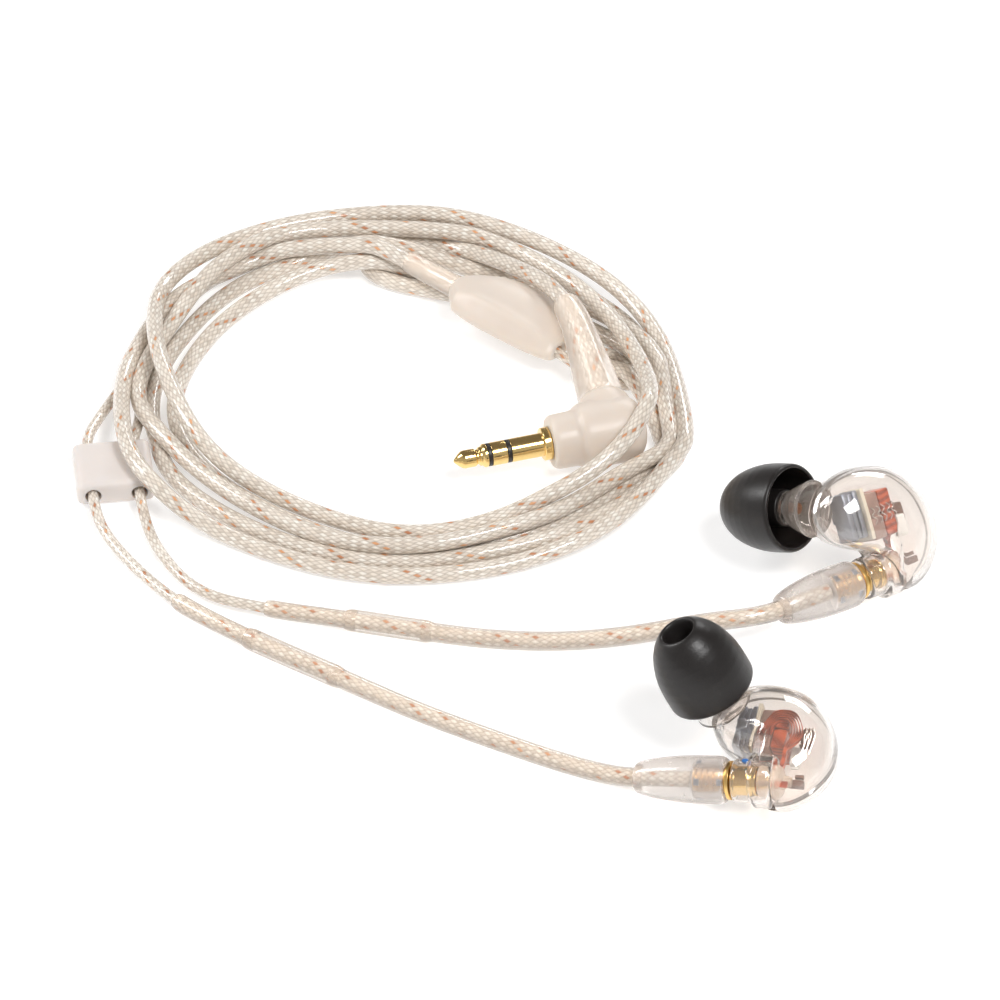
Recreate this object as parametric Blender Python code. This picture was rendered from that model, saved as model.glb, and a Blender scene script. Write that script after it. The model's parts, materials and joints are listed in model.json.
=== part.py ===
"""Wired in-ear monitors: two clear earphones on detachable leads, a Y split, a neck slider,
a wound cable and a right-angle 3.5 mm plug, laid out on a surface.

Run with: blender --background --python part.py
Metres, +Z up. The origin is on the surface, under the middle of the pair of earphones.
"""

import bmesh
import bpy
from math import cos, pi, radians, sin
from mathutils import Matrix, Vector

MM = 0.001
GAP = 0.3 * MM

# Earphone, in its own frame: the origin is the mouth of the cable socket, +X runs along the
# connector into the shell, +Z points to the ear side, and +Y (times hand) to the shell's lobe.
SHELL_OUTLINE = [
    (13.4, 3.6), (12.4, 9.4), (8.8, 13.8), (3.6, 15.8), (-1.5, 15.0), (-4.9, 11.4),
    (-3.9, 7.4), (-0.6, 4.9), (2.6, 3.2), (4.0, 0.0), (4.8, -2.9), (8.2, -3.3), (11.8, -0.8),
]
SHELL_SEAM = -1.0 * MM
SHELL_INNER_HEIGHT = 6.3 * MM
SHELL_OUTER_HEIGHT = 5.6 * MM
SHELL_FULLNESS = 2.3
SHELL_WALL = 0.9 * MM
SHELL_AROUND = 40
SHELL_LEVELS = 7

NOZZLE_AT = (-4.3, 12.5, 4.3)
NOZZLE_AXIS = (-0.272, 0.174, 0.946)
NOZZLE_BASE = -3.6
NOZZLE_BASE_RADIUS = 4.2
NOZZLE_NECK_RADIUS = 2.5
NOZZLE_SHOULDER = 0.9
NOZZLE_STEM_RADIUS = 1.6
NOZZLE_STEM_END = 8.4
NOZZLE_BORE_RADIUS = 1.0

SLEEVE_LENGTH = 11.5
SLEEVE_RADIUS = 6.4
SLEEVE_STEM_BORE = 1.9
SLEEVE_STEM_RADIUS = 2.7
SLEEVE_MOUTH_RADIUS = 2.3

COLLAR_RADIUS = 3.1
COLLAR_BOSS_RADIUS = 3.8
COLLAR_END = 6.3
SOCKET_RADIUS = 2.4
BOOT_LENGTH = 13.4
BOOT_RADIUS = 3.45
BOOT_TAIL_RADIUS = 2.25
BOOT_START = -0.75
BOOT_APPROACH = 2.4 * MM

# Where each earphone lies: its socket, then the heading, climb and roll of its connector.
EARPHONES = {
    "left": {"at": (-9.9, -26.7, 5.05), "heading": -14.6, "climb": 11.0, "roll": 13.2, "hand": 1},
    "right": {"at": (9.1, 16.0, 4.42), "heading": 34.9, "climb": -6.1, "roll": -128.2, "hand": -1},
}

# Cable. The leads run from the wound coil through the slider to the earphones.
LEAD_RADIUS = 0.8 * MM
LEAD_SLEEVE_RADIUS = 1.3 * MM
LEAD_COLLAR_RADIUS = 1.7 * MM
WIRE_FORM_RADIUS = 1.4 * MM
CURVE_STEPS = 24
CABLE_RADIUS = 1.25 * MM
COIL_CENTRE = (-57.6, 59.2)
COIL_OUTER = 41.6
COIL_INNER = 35.2
COIL_HEIGHT = 6.4
COIL_CHAMFER = 1.4

SLIDER_AT = (-98.8, 42.7, 2.0)
SLIDER_HEADING = -83.0
SLIDER_SIZE = (9.8, 11.0, 4.0)
SLIDER_HOLE_SPACING = 6.8
SLIDER_HOLE_RADIUS = 1.2
SLIDER_LEAD_BEYOND = 3.0

LEAD_ROUTES = {
    "left": {
        "before": [(-99.2, 67.3, 1.0), (-101.6, 61.9, 1.0), (-102.9, 56.2, 1.6)],
        "after": [
            (-99.9, 30.3, 1.5), (-96.2, 24.4, 1.1), (-89.0, 15.2, 1.4), (-78.7, 6.9, 1.8),
            (-65.0, -1.9, 1.8), (-53.6, -8.8, 1.5), (-42.3, -14.9, 1.5), (-32.7, -19.7, 1.6),
        ],
        "starts": {"lead_sleeve": 2, "lead_collar": 3, "wire_form": 4},
    },
    "right": {
        "before": [],
        "after": [
            (-93.5, 31.3, 1.4), (-91.6, 26.1, 1.1), (-85.5, 17.3, 1.2), (-76.0, 13.5, 1.4),
            (-64.5, 10.6, 1.8), (-52.3, 7.9, 1.8), (-43.7, 6.7, 1.5), (-33.7, 5.9, 1.8),
            (-23.7, 5.6, 3.2), (-13.7, 5.9, 5.3), (-8.3, 5.9, 6.1),
        ],
        "starts": {"lead_sleeve": 3, "lead_collar": 4, "wire_form": 5},
    },
}

# Y split: axis points from the cable side to the lead side.
Y_RELIEF = [(-56.0, 87.9, 4.8), (-52.8, 84.7, 5.0), (-49.1, 81.6, 5.1)]
Y_RELIEF_RADIUS = 1.65 * MM
Y_START = (-48.8, 81.3, 5.1)
Y_HEADING = -38.6
Y_SECTIONS = [
    (0.0, 4.4, 3.7, 0.0), (1.6, 7.0, 4.5, 0.0), (5.0, 9.4, 5.2, 0.1), (10.0, 9.8, 5.2, 0.1),
    (15.5, 9.4, 4.4, -0.2), (19.2, 8.4, 3.5, -0.5), (20.6, 6.6, 2.6, -0.7),
]
Y_LEAD_SPACING = 3.2

# Plug: +X runs from the shoulder to the tip of the jack.
PLUG_AT = (-35.3, 45.6, 5.0)
PLUG_HEADING = 196.5
JACK_RADIUS = 1.75
JACK_LENGTH = 14.4
PLUG_NECK_RADIUS = 4.2
PLUG_BODY_RADIUS = 4.9
PLUG_BODY_LENGTH = 13.4
PLUG_RELIEF_AT = -9.6
PLUG_RELIEF_HEADING = 103.4
PLUG_RELIEF_CLIMB = 10.6
PLUG_RELIEF_LENGTH = 22.3
PLUG_RELIEF_RADII = (3.4, 2.1)

COLOURS = {
    "clear_shell": ((0.93, 0.92, 0.90), 0.06, 0.0),
    "milky": ((0.83, 0.76, 0.69), 0.38, 0.0),
    "milky_white": ((0.86, 0.82, 0.79), 0.42, 0.0),
    "black_rubber": ((0.030, 0.027, 0.027), 0.48, 0.0),
    "gold": ((0.95, 0.68, 0.28), 0.18, 1.0),
    "driver_steel": ((0.46, 0.48, 0.52), 0.30, 0.9),
    "copper_red": ((0.55, 0.13, 0.05), 0.40, 0.1),
    "board": ((0.62, 0.58, 0.50), 0.50, 0.0),
    "damper_brown": ((0.20, 0.09, 0.05), 0.60, 0.0),
    "insulator": ((0.05, 0.04, 0.04), 0.50, 0.0),
    "braid": ((0.78, 0.72, 0.66), 0.35, 0.2),
}


def clear_scene():
    for obj in list(bpy.data.objects):
        bpy.data.objects.remove(obj, do_unlink=True)


def material(name):
    """The named finish, made once."""
    found = bpy.data.materials.get(name)
    if found:
        return found
    colour, roughness, metallic = COLOURS[name]
    made = bpy.data.materials.new(name)
    made.use_nodes = True
    shader = made.node_tree.nodes["Principled BSDF"]
    shader.inputs["Base Color"].default_value = (*colour, 1.0)
    shader.inputs["Roughness"].default_value = roughness
    shader.inputs["Metallic"].default_value = metallic
    made.diffuse_color = (*colour, 1.0)
    return made


def link(name, data, finish, parent, at):
    obj = bpy.data.objects.new(name, data)
    bpy.context.scene.collection.objects.link(obj)
    obj.parent = parent
    obj.matrix_basis = at
    if finish:
        obj.data.materials.append(material(finish))
    return obj


def empty(name, at):
    obj = bpy.data.objects.new(name, None)
    bpy.context.scene.collection.objects.link(obj)
    obj.matrix_basis = at
    return obj


def solid(name, bm, finish, parent=None, at=Matrix()):
    """The bmesh as a smooth-shaded object, its faces turned outwards."""
    bmesh.ops.recalc_face_normals(bm, faces=bm.faces)
    mesh = bpy.data.meshes.new(name)
    bm.to_mesh(mesh)
    bm.free()
    mesh.shade_smooth()
    mesh.set_sharp_from_angle(angle=radians(35))
    return link(name, mesh, finish, parent, at)


def cutter(name, bm, parent=None, at=Matrix()):
    """A shape that only cuts others."""
    obj = solid(name, bm, None, parent, at)
    obj.hide_render = True
    obj.display_type = "WIRE"
    return obj


def cut(obj, tool):
    modifier = obj.modifiers.new("cut_" + tool.name, "BOOLEAN")
    modifier.operation = "DIFFERENCE"
    modifier.solver = "EXACT"
    modifier.object = tool


def scaled(points):
    """Millimetre points as metre vectors."""
    return [Vector(p) * MM for p in points]


def heading_matrix(at, heading, climb=0.0, roll=0.0):
    """A frame whose +X has the given heading and climb, in degrees, rolled about itself."""
    return (
        Matrix.Translation(Vector(at) * MM)
        @ Matrix.Rotation(radians(heading), 4, "Z")
        @ Matrix.Rotation(radians(-climb), 4, "Y")
        @ Matrix.Rotation(radians(roll), 4, "X")
    )


def axis_matrix(at, axis):
    """A frame at a millimetre point whose +X lies along the axis."""
    turn = Vector(axis).to_track_quat("X", "Z").to_matrix().to_4x4()
    return Matrix.Translation(Vector(at) * MM) @ turn


def joined_rings(rings, closed):
    """A skin over rings of equal length; a ring of one point is a pole. Closed joins last to first."""
    bm = bmesh.new()
    made = [[bm.verts.new(p) for p in ring] for ring in rings]
    pairs = list(zip(made, made[1:]))
    if closed:
        pairs.append((made[-1], made[0]))
    for first, second in pairs:
        count = max(len(first), len(second))
        for i in range(count):
            j = (i + 1) % count
            corners = [first[i % len(first)], first[j % len(first)]]
            corners += [second[j % len(second)], second[i % len(second)]]
            bm.faces.new(dict.fromkeys(corners))
    if not closed:
        for ring in (made[0], made[-1]):
            if len(ring) > 1:
                bm.faces.new(ring)
    return bm


def turned(profile, segments=24):
    """A solid turned about X from (x, radius) points in millimetres.

    A profile that starts on the axis also ends there; any other is a closed loop round a bore.
    """
    rings = []
    for x, radius in profile:
        count = segments if radius > 0 else 1
        angles = [2 * pi * i / segments for i in range(count)]
        rings.append([Vector((x, radius * cos(a), radius * sin(a))) * MM for a in angles])
    return joined_rings(rings, closed=profile[0][1] > 0)


def block(size, centre, bevel=0.25, segments=1):
    """A box in millimetres with bevelled edges."""
    bm = bmesh.new()
    bmesh.ops.create_cube(bm, size=1.0)
    bmesh.ops.scale(bm, vec=Vector(size) * MM, verts=bm.verts)
    bmesh.ops.translate(bm, vec=Vector(centre) * MM, verts=bm.verts)
    bmesh.ops.bevel(
        bm, geom=bm.edges[:], offset=bevel * MM, segments=segments, affect="EDGES", profile=0.5
    )
    return bm


def spline_point(a, b, c, d, t):
    """A point between b and c on the Catmull-Rom curve through a, b, c and d."""
    return 0.5 * (
        2 * b + (c - a) * t + (2 * a - 5 * b + 4 * c - d) * t**2 + (3 * b - a - 3 * c + d) * t**3
    )


def smooth_curve(points, closed=False):
    """Dense points on the smooth curve through the given vectors."""
    steps = CURVE_STEPS
    count = len(points)
    dense = []
    for i in range(count if closed else count - 1):
        if closed:
            a, b, c, d = (points[(i + k) % count] for k in (-1, 0, 1, 2))
        else:
            a, b, c, d = (points[min(max(i + k, 0), count - 1)] for k in (-1, 0, 1, 2))
        dense += [spline_point(a, b, c, d, k / steps) for k in range(steps)]
    if not closed:
        dense.append(points[-1])
    return dense


def lengths_along(points):
    total = [0.0]
    for a, b in zip(points, points[1:]):
        total.append(total[-1] + (b - a).length)
    return total


def point_at(points, lengths, where):
    """The point at a length along a chain of points."""
    for i in range(1, len(points)):
        if lengths[i] >= where:
            share = (where - lengths[i - 1]) / (lengths[i] - lengths[i - 1])
            return points[i - 1].lerp(points[i], share)
    return points[-1].copy()


def stretch(points, start, end, spacing):
    """Evenly spaced points along part of a chain, no further apart than the spacing."""
    lengths = lengths_along(points)
    end = min(end, lengths[-1])
    count = max(2, round((end - start) / spacing) + 1)
    places = [start + (end - start) * i / (count - 1) for i in range(count)]
    return [point_at(points, lengths, place) for place in places]


def tube(name, points, radius, finish):
    """A round cord through the points, with filled ends."""
    curve = bpy.data.curves.new(name, "CURVE")
    curve.dimensions = "3D"
    curve.bevel_depth = radius
    curve.bevel_resolution = 2
    curve.use_fill_caps = True
    spline = curve.splines.new("POLY")
    spline.points.add(len(points) - 1)
    for place, point in zip(spline.points, points):
        place.co = (*point, 1.0)
    return link(name, curve, finish, None, Matrix())


# Earphones


def even_outline(hand):
    """Evenly spaced points round the shell's outline."""
    dense = smooth_curve([Vector((x, y * hand, 0)) * MM for x, y in SHELL_OUTLINE], closed=True)
    dense.append(dense[0])
    lengths = lengths_along(dense)
    step = lengths[-1] / SHELL_AROUND
    return [point_at(dense, lengths, step * i) for i in range(SHELL_AROUND)]


def shell_loop(outline, share, height):
    """The outline shrunk to a share of its size about its middle, at one height."""
    middle = sum(outline, Vector()) / len(outline)
    loop = [middle.lerp(point, share) for point in outline]
    return [Vector((point.x, point.y, height)) for point in loop]


def dome_levels(height, wall):
    """(share, height) pairs from the seam to the crown of a half shell, less a wall."""
    levels = []
    size = 1 - wall / (8.6 * MM)
    for k in range(SHELL_LEVELS):
        angle = radians(84) * k / (SHELL_LEVELS - 1)
        share = size * cos(angle) ** (2 / SHELL_FULLNESS)
        levels.append((share, (height - wall) * sin(angle) ** (2 / SHELL_FULLNESS)))
    return levels


def shell_half(up, height, hand):
    """One half of the shell as a cup: up is +1 on the ear side and -1 on the face side."""
    outline = even_outline(hand)
    levels = [*reversed(dome_levels(height, 0.0)), *dome_levels(height, SHELL_WALL)]
    rings = [
        shell_loop(outline, share, SHELL_SEAM + up * (rise + GAP / 2)) for share, rise in levels
    ]
    return joined_rings(rings, closed=False)


def add_shell(side, frame, nozzle_frame, hand):
    outer = solid(side + "_outer_shell", shell_half(-1, SHELL_OUTER_HEIGHT, hand), "clear_shell", frame)
    inner = solid(side + "_inner_shell", shell_half(1, SHELL_INNER_HEIGHT, hand), "clear_shell", frame)
    gap = GAP / MM
    boss = [(-8.0, 0), (-8.0, COLLAR_BOSS_RADIUS + gap), (COLLAR_END + gap, COLLAR_BOSS_RADIUS + gap)]
    collar_tool = cutter(side + "_collar_cutter", turned([*boss, (COLLAR_END + gap, 0)]), frame)
    cone = [
        (NOZZLE_BASE - gap, 0),
        (NOZZLE_BASE - gap, NOZZLE_BASE_RADIUS + gap),
        (0.5, NOZZLE_NECK_RADIUS + 2 * gap),
        (6.0, NOZZLE_NECK_RADIUS + 2 * gap),
        (6.0, 0),
    ]
    nozzle_tool = cutter(side + "_nozzle_cutter", turned(cone), frame, nozzle_frame)
    cut(outer, collar_tool)
    cut(inner, collar_tool)
    cut(inner, nozzle_tool)


def add_nozzle(side, frame, nozzle_frame):
    profile = [
        (NOZZLE_BASE, NOZZLE_BORE_RADIUS + 0.9),
        (NOZZLE_BASE, NOZZLE_BASE_RADIUS),
        (-1.6, 3.45),
        (0.4, NOZZLE_NECK_RADIUS + 0.1),
        (NOZZLE_SHOULDER, NOZZLE_NECK_RADIUS),
        (NOZZLE_SHOULDER, NOZZLE_STEM_RADIUS),
        (NOZZLE_STEM_END - 0.4, NOZZLE_STEM_RADIUS),
        (NOZZLE_STEM_END, NOZZLE_STEM_RADIUS - 0.3),
        (NOZZLE_STEM_END, NOZZLE_BORE_RADIUS),
        (-2.2, NOZZLE_BORE_RADIUS),
    ]
    solid(side + "_nozzle", turned(profile), "clear_shell", frame, nozzle_frame)
    plug = [(-0.9, 0), (-0.9, 0.85), (1.3, 0.85), (1.3, 0)]
    solid(side + "_acoustic_damper", turned(plug, 16), "damper_brown", frame, nozzle_frame)


def add_sleeve(side, frame, nozzle_frame):
    """A soft dome on a stem, open behind, that pulls off along the nozzle."""
    radius = SLEEVE_RADIUS
    length = SLEEVE_LENGTH
    outer = [
        (0.0, radius - 0.25), (0.7, radius), (3.2, radius), (5.8, radius * 0.925),
        (8.2, radius * 0.79), (10.2, radius * 0.62), (length - 0.4, radius * 0.49),
        (length, 2.75),
    ]
    mouth = [(length - 0.2, SLEEVE_MOUTH_RADIUS), (9.6, SLEEVE_STEM_BORE), (1.3, SLEEVE_STEM_BORE)]
    stem = [(1.3, SLEEVE_STEM_RADIUS), (8.2, SLEEVE_STEM_RADIUS + 0.1)]
    lining = [(7.4, radius - 1.9), (5.4, radius - 1.15), (3.0, radius - 0.8), (0.4, radius - 0.7)]
    bm = turned([*outer, *mouth, *stem, *lining], 32)
    solid(side + "_sleeve", bm, "black_rubber", frame, nozzle_frame)


def add_drivers(side, frame, hand):
    """What turns the signal into sound: two armature drivers, their plate, flex and crossover."""
    boxes = [
        ("tweeter_driver", (3.2, 6.4, 3.8), (1.5, 9.5, -1.9), "driver_steel"),
        ("driver_plate", (0.7, 7.4, 5.2), (3.75, 9.2, -1.8), "board"),
        ("woofer_driver", (4.4, 7.0, 4.8), (6.6, 8.2, -1.7), "copper_red"),
        ("crossover_block", (2.0, 2.4, 2.2), (9.0, 0.8, -0.6), "damper_brown"),
    ]
    for name, size, (x, y, z), finish in boxes:
        solid(f"{side}_{name}", block(size, (x, y * hand, z)), finish, frame)
    path = [(10.3, 2.3), (10.6, 4.4), (10.5, 6.8), (10.1, 9.0), (9.4, 10.7)]
    half_width = 1.5
    half_thickness = 0.12
    rings = []
    for x, y in path:
        corners = [(-1, -1), (1, -1), (1, 1), (-1, 1)]
        ring = [(x + a * half_thickness, y * hand, -1.1 + b * half_width) for a, b in corners]
        rings.append(scaled(ring))
    solid(side + "_flex_circuit", joined_rings(rings, closed=False), "copper_red", frame)


def add_socket(side, frame):
    """The gold socket in its clear collar, and the contact that takes the plug's pin."""
    collar = [
        (0.4, 2.6), (0.4, COLLAR_RADIUS - 0.3), (0.7, COLLAR_RADIUS), (2.9, COLLAR_RADIUS),
        (3.5, COLLAR_BOSS_RADIUS), (COLLAR_END - 0.4, COLLAR_BOSS_RADIUS),
        (COLLAR_END, COLLAR_BOSS_RADIUS - 0.4), (COLLAR_END, 2.6),
    ]
    solid(side + "_socket_collar", turned(collar, 28), "clear_shell", frame)
    cup = [(6.6, 0), (6.6, SOCKET_RADIUS), (0.6, SOCKET_RADIUS), (0.6, 2.0), (5.2, 2.0), (5.2, 0)]
    solid(side + "_connector_socket", turned(cup), "gold", frame)
    contact = [(3.2, 0.4), (3.2, 0.8), (4.9, 0.8), (4.9, 0.4)]
    solid(side + "_socket_contact", turned(contact, 12), "gold", frame)


def split_ring(x_low, x_high, inner, outer, opening, steps=20):
    """A C-shaped ring about X with an opening of so many degrees."""
    rings = []
    for k in range(steps + 1):
        angle = radians(opening / 2 + (360 - opening) * k / steps)
        corners = [(x_low, inner), (x_high, inner), (x_high, outer), (x_low, outer)]
        rings.append([Vector((x, r * cos(angle), r * sin(angle))) * MM for x, r in corners])
    return joined_rings(rings, closed=False)


def add_connector(side, frame):
    """The lead's coaxial snap plug and its moulded boot."""
    solid(side + "_snap_ring", split_ring(1.35, 1.85, 1.3, 1.8, 50), "gold", frame)
    barrel = [
        (-5.2, 0.9), (-5.2, 1.6), (-0.45, 1.6), (-0.45, 2.7), (0.05, 2.7), (0.05, 1.45),
        (1.2, 1.45), (1.2, 1.1), (2.0, 1.1), (2.0, 1.45), (2.7, 1.45), (3.0, 1.2), (3.0, 0.9),
    ]
    solid(side + "_plug_shell", turned(barrel), "gold", frame)
    liner = [(-4.8, 0.4), (-4.8, 0.75), (2.8, 0.75), (2.8, 0.4)]
    solid(side + "_plug_insulator", turned(liner, 12), "milky_white", frame)
    pin = [(-5.0, 0), (-5.0, 0.25), (3.6, 0.25), (3.9, 0.1), (3.9, 0)]
    solid(side + "_plug_pin", turned(pin, 10), "gold", frame)
    tail = BOOT_START - BOOT_LENGTH
    boot = [
        (tail, 0), (tail, BOOT_TAIL_RADIUS - 0.4), (tail + 0.5, BOOT_TAIL_RADIUS),
        (tail + 2.6, 2.8), (tail + 5.4, 3.2), (tail + 8.6, BOOT_RADIUS - 0.05),
        (tail + 10.6, BOOT_RADIUS), (-1.5, BOOT_RADIUS - 0.05), (-0.95, BOOT_RADIUS - 0.25),
        (BOOT_START, BOOT_RADIUS - 0.6), (BOOT_START, 1.9), (-5.6, 1.9), (-5.6, 0),
    ]
    solid(side + "_connector_boot", turned(boot, 28), "milky", frame)


def add_earphone(side):
    place = EARPHONES[side]
    hand = place["hand"]
    frame = empty(
        side + "_connector_axis",
        heading_matrix(place["at"], place["heading"], place["climb"], place["roll"]),
    )
    at = (NOZZLE_AT[0], NOZZLE_AT[1] * hand, NOZZLE_AT[2])
    axis = (NOZZLE_AXIS[0], NOZZLE_AXIS[1] * hand, NOZZLE_AXIS[2])
    nozzle_frame = axis_matrix(at, axis)
    add_shell(side, frame, nozzle_frame, hand)
    add_nozzle(side, frame, nozzle_frame)
    add_sleeve(side, frame, nozzle_frame)
    add_drivers(side, frame, hand)
    add_socket(side, frame)
    add_connector(side, frame)
    return frame


# Leads, slider and coil


def slider_frame():
    return heading_matrix(SLIDER_AT, SLIDER_HEADING)


def lead_offset(side):
    """How far to the slider's left a lead passes through it."""
    return (-1 if side == "left" else 1) * SLIDER_HOLE_SPACING / 2


def lead_through_slider(side):
    """The straight stretch of a lead in the slider and just beyond both its ends."""
    reach = SLIDER_SIZE[0] / 2 + SLIDER_LEAD_BEYOND
    offset = lead_offset(side)
    frame = slider_frame()
    return [frame @ (Vector((x, offset, 0)) * MM) for x in (-reach, 0.0, reach)]


def add_leads(side, frame):
    """A lead from the coil through the slider: bare cord, clear sleeve, collar, then wire form."""
    route = LEAD_ROUTES[side]
    tail = (BOOT_START - BOOT_LENGTH) * MM
    boot_end = [frame.matrix_basis @ Vector((tail - back, 0, 0)) for back in (BOOT_APPROACH, GAP)]
    inside = lead_through_slider(side)
    through = [inside[0].lerp(inside[2], k / 4) for k in range(5)]
    points = scaled(route["before"]) + through + scaled(route["after"]) + boot_end
    dense = smooth_curve(points)
    lengths = lengths_along(dense)
    first = len(points) - len(boot_end) - len(route["after"])
    starts = {name: lengths[(first + k) * CURVE_STEPS] for name, k in route["starts"].items()}
    sleeve, collar, wire = starts["lead_sleeve"], starts["lead_collar"], starts["wire_form"]
    pieces = [
        ("lead", 0.0, sleeve - GAP, LEAD_RADIUS, "braid"),
        ("lead_sleeve", sleeve, collar - GAP, LEAD_SLEEVE_RADIUS, "milky"),
        ("lead_collar", collar, wire - GAP, LEAD_COLLAR_RADIUS, "milky"),
        ("wire_form", wire, lengths[-1] - BOOT_APPROACH, WIRE_FORM_RADIUS, "braid"),
    ]
    for name, start, end, radius, finish in pieces:
        chain = stretch(dense, start, end, 5.4 * radius)
        if name == "wire_form":
            chain.append(dense[-1])
        tube(f"{side}_{name}", chain, radius, finish)


def add_slider():
    body = solid("slider", block(SLIDER_SIZE, (0, 0, 0), 0.9, 2), "milky_white", None, slider_frame())
    for side in ("left", "right"):
        reach = SLIDER_SIZE[0]
        hole = [(-reach, 0), (-reach, SLIDER_HOLE_RADIUS), (reach, SLIDER_HOLE_RADIUS), (reach, 0)]
        shift = Matrix.Translation(Vector((0, lead_offset(side), 0)) * MM)
        cut(body, cutter(side + "_slider_cutter", turned(hole, 12), None, slider_frame() @ shift))


def add_coil():
    """The outer shape of the wound cable: a ring with pockets for the plug and the slider."""
    chamfer = COIL_CHAMFER
    profile = [
        (0.0, COIL_INNER + chamfer), (0.0, COIL_OUTER - chamfer),
        (chamfer, COIL_OUTER), (COIL_HEIGHT - chamfer, COIL_OUTER),
        (COIL_HEIGHT, COIL_OUTER - chamfer), (COIL_HEIGHT, COIL_INNER + chamfer),
        (COIL_HEIGHT - chamfer, COIL_INNER), (chamfer, COIL_INNER),
    ]
    upright = Matrix.Translation(Vector((*COIL_CENTRE, 0)) * MM) @ Matrix.Rotation(-pi / 2, 4, "Y")
    coil = solid("cable_coil", turned(profile, 64), "braid", None, upright)
    radius = PLUG_BODY_RADIUS + 0.5
    back = -PLUG_BODY_LENGTH - 1.6
    room = [(back, 0), (back, 3.1), (back + 2.2, radius), (0.0, radius), (0.0, 0)]
    plug_room = turned(room)
    cut(coil, cutter("plug_room_cutter", plug_room, None, heading_matrix(PLUG_AT, PLUG_HEADING)))
    length, width, height = SLIDER_SIZE
    size = (length + 2 * SLIDER_LEAD_BEYOND + 1.0, width + 1.0, 2 * height + 2.0)
    slider_room = block(size, (0, 0, -height / 2), 0.5)
    cut(coil, cutter("slider_room_cutter", slider_room, None, slider_frame()))


# Y split and plug


def add_y_split():
    relief = smooth_curve(scaled(Y_RELIEF))
    relief_length = lengths_along(relief)[-1]
    tube("y_strain_relief", stretch(relief, 0, relief_length - GAP, 3.0 * MM), Y_RELIEF_RADIUS, "milky")
    frame = heading_matrix(Y_START, Y_HEADING)
    rings = []
    for x, width, height, sink in Y_SECTIONS:
        ring = []
        for k in range(20):
            angle = 2 * pi * k / 20
            y = width / 2 * abs(cos(angle)) ** 0.8 * (1 if cos(angle) >= 0 else -1)
            z = height / 2 * abs(sin(angle)) ** 0.8 * (1 if sin(angle) >= 0 else -1)
            ring.append(Vector((x, y, z + sink)) * MM)
        rings.append(ring)
    solid("y_split_body", joined_rings(rings, closed=False), "milky", None, frame)
    start = relief[0]
    back = (relief[0] - relief[12]).normalized()
    tube("y_tail", [start + back * GAP, start + back * 1.6 * MM], CABLE_RADIUS, "braid")
    end, _, _, sink = Y_SECTIONS[-1]
    for side, offset in (("left", -Y_LEAD_SPACING / 2), ("right", Y_LEAD_SPACING / 2)):
        line = [(end + 0.3, offset, sink), (end + 4.5, offset, sink - 1.0), (end + 8.6, offset, sink - 2.4)]
        tube(side + "_y_lead", [frame @ p for p in scaled(line)], LEAD_RADIUS, "braid")


def add_jack(frame):
    """The three contacts of a 3.5 mm jack on their insulating core."""
    r = JACK_RADIUS
    core = [
        (-5.0, 0), (-5.0, 0.8), (5.4, 0.8), (5.4, r - 0.05), (6.0, r - 0.05), (6.0, 0.8),
        (8.3, 0.8), (8.3, r - 0.05), (8.9, r - 0.05), (8.9, 0.8), (12.0, 0.8), (12.0, 0),
    ]
    solid("jack_core", turned(core), "insulator", frame)
    sleeve = [
        (-4.5, 1.0), (-4.5, r), (-0.8, r), (-0.8, 2.4), (0.0, 2.4), (0.0, r), (5.25, r),
        (5.25, 1.0),
    ]
    solid("jack_sleeve", turned(sleeve), "gold", frame)
    solid("jack_ring", turned([(6.15, 1.0), (6.15, r), (8.15, r), (8.15, 1.0)]), "gold", frame)
    tip = [
        (JACK_LENGTH, 0), (JACK_LENGTH, 0.35), (JACK_LENGTH - 0.7, 1.15),
        (JACK_LENGTH - 1.2, 1.5), (JACK_LENGTH - 2.4, 1.3), (JACK_LENGTH - 3.8, 1.6), (9.6, r),
        (9.05, r), (9.05, 1.0), (12.2, 1.0), (12.2, 0),
    ]
    solid("jack_tip", turned(tip), "gold", frame)


def add_plug():
    frame = empty("plug_axis", heading_matrix(PLUG_AT, PLUG_HEADING))
    add_jack(frame)
    back = -1.1 - PLUG_BODY_LENGTH
    body = [
        (back, 0), (back, 2.6), (back + 0.6, 3.9), (back + 1.7, PLUG_BODY_RADIUS - 0.1),
        (back + 3.0, PLUG_BODY_RADIUS), (-5.4, PLUG_BODY_RADIUS), (-4.7, PLUG_BODY_RADIUS - 0.25),
        (-4.3, PLUG_NECK_RADIUS + 0.1), (-3.9, PLUG_NECK_RADIUS), (-1.6, PLUG_NECK_RADIUS - 0.05),
        (-1.1, PLUG_NECK_RADIUS - 0.5), (-1.1, 2.05), (-5.3, 2.05), (-5.3, 0),
    ]
    solid("plug_body", turned(body, 32), "milky", frame)
    on_axis = frame.matrix_basis @ (Vector((PLUG_RELIEF_AT, 0, 0)) * MM)
    relief_frame = heading_matrix(on_axis / MM, PLUG_RELIEF_HEADING, PLUG_RELIEF_CLIMB)
    start = PLUG_BODY_RADIUS + 0.4
    wide, narrow = PLUG_RELIEF_RADII
    end = start + PLUG_RELIEF_LENGTH
    relief = [
        (start, 0), (start, wide), (start + 5.0, wide * 0.97), (start + 12.0, (wide + narrow) / 2),
        (end - 0.5, narrow), (end, narrow - 0.4), (end, 0),
    ]
    solid("plug_strain_relief", turned(relief), "milky", None, relief_frame)
    cord = [relief_frame @ (Vector((x, 0, 0)) * MM) for x in (end + 0.3, end + 2.4)]
    tube("plug_tail", cord, CABLE_RADIUS, "braid")


def main():
    clear_scene()
    for side in ("left", "right"):
        frame = add_earphone(side)
        add_leads(side, frame)
    add_slider()
    add_coil()
    add_y_split()
    add_plug()


main()
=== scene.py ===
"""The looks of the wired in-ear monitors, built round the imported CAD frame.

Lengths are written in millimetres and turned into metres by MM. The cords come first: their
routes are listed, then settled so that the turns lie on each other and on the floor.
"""

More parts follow.
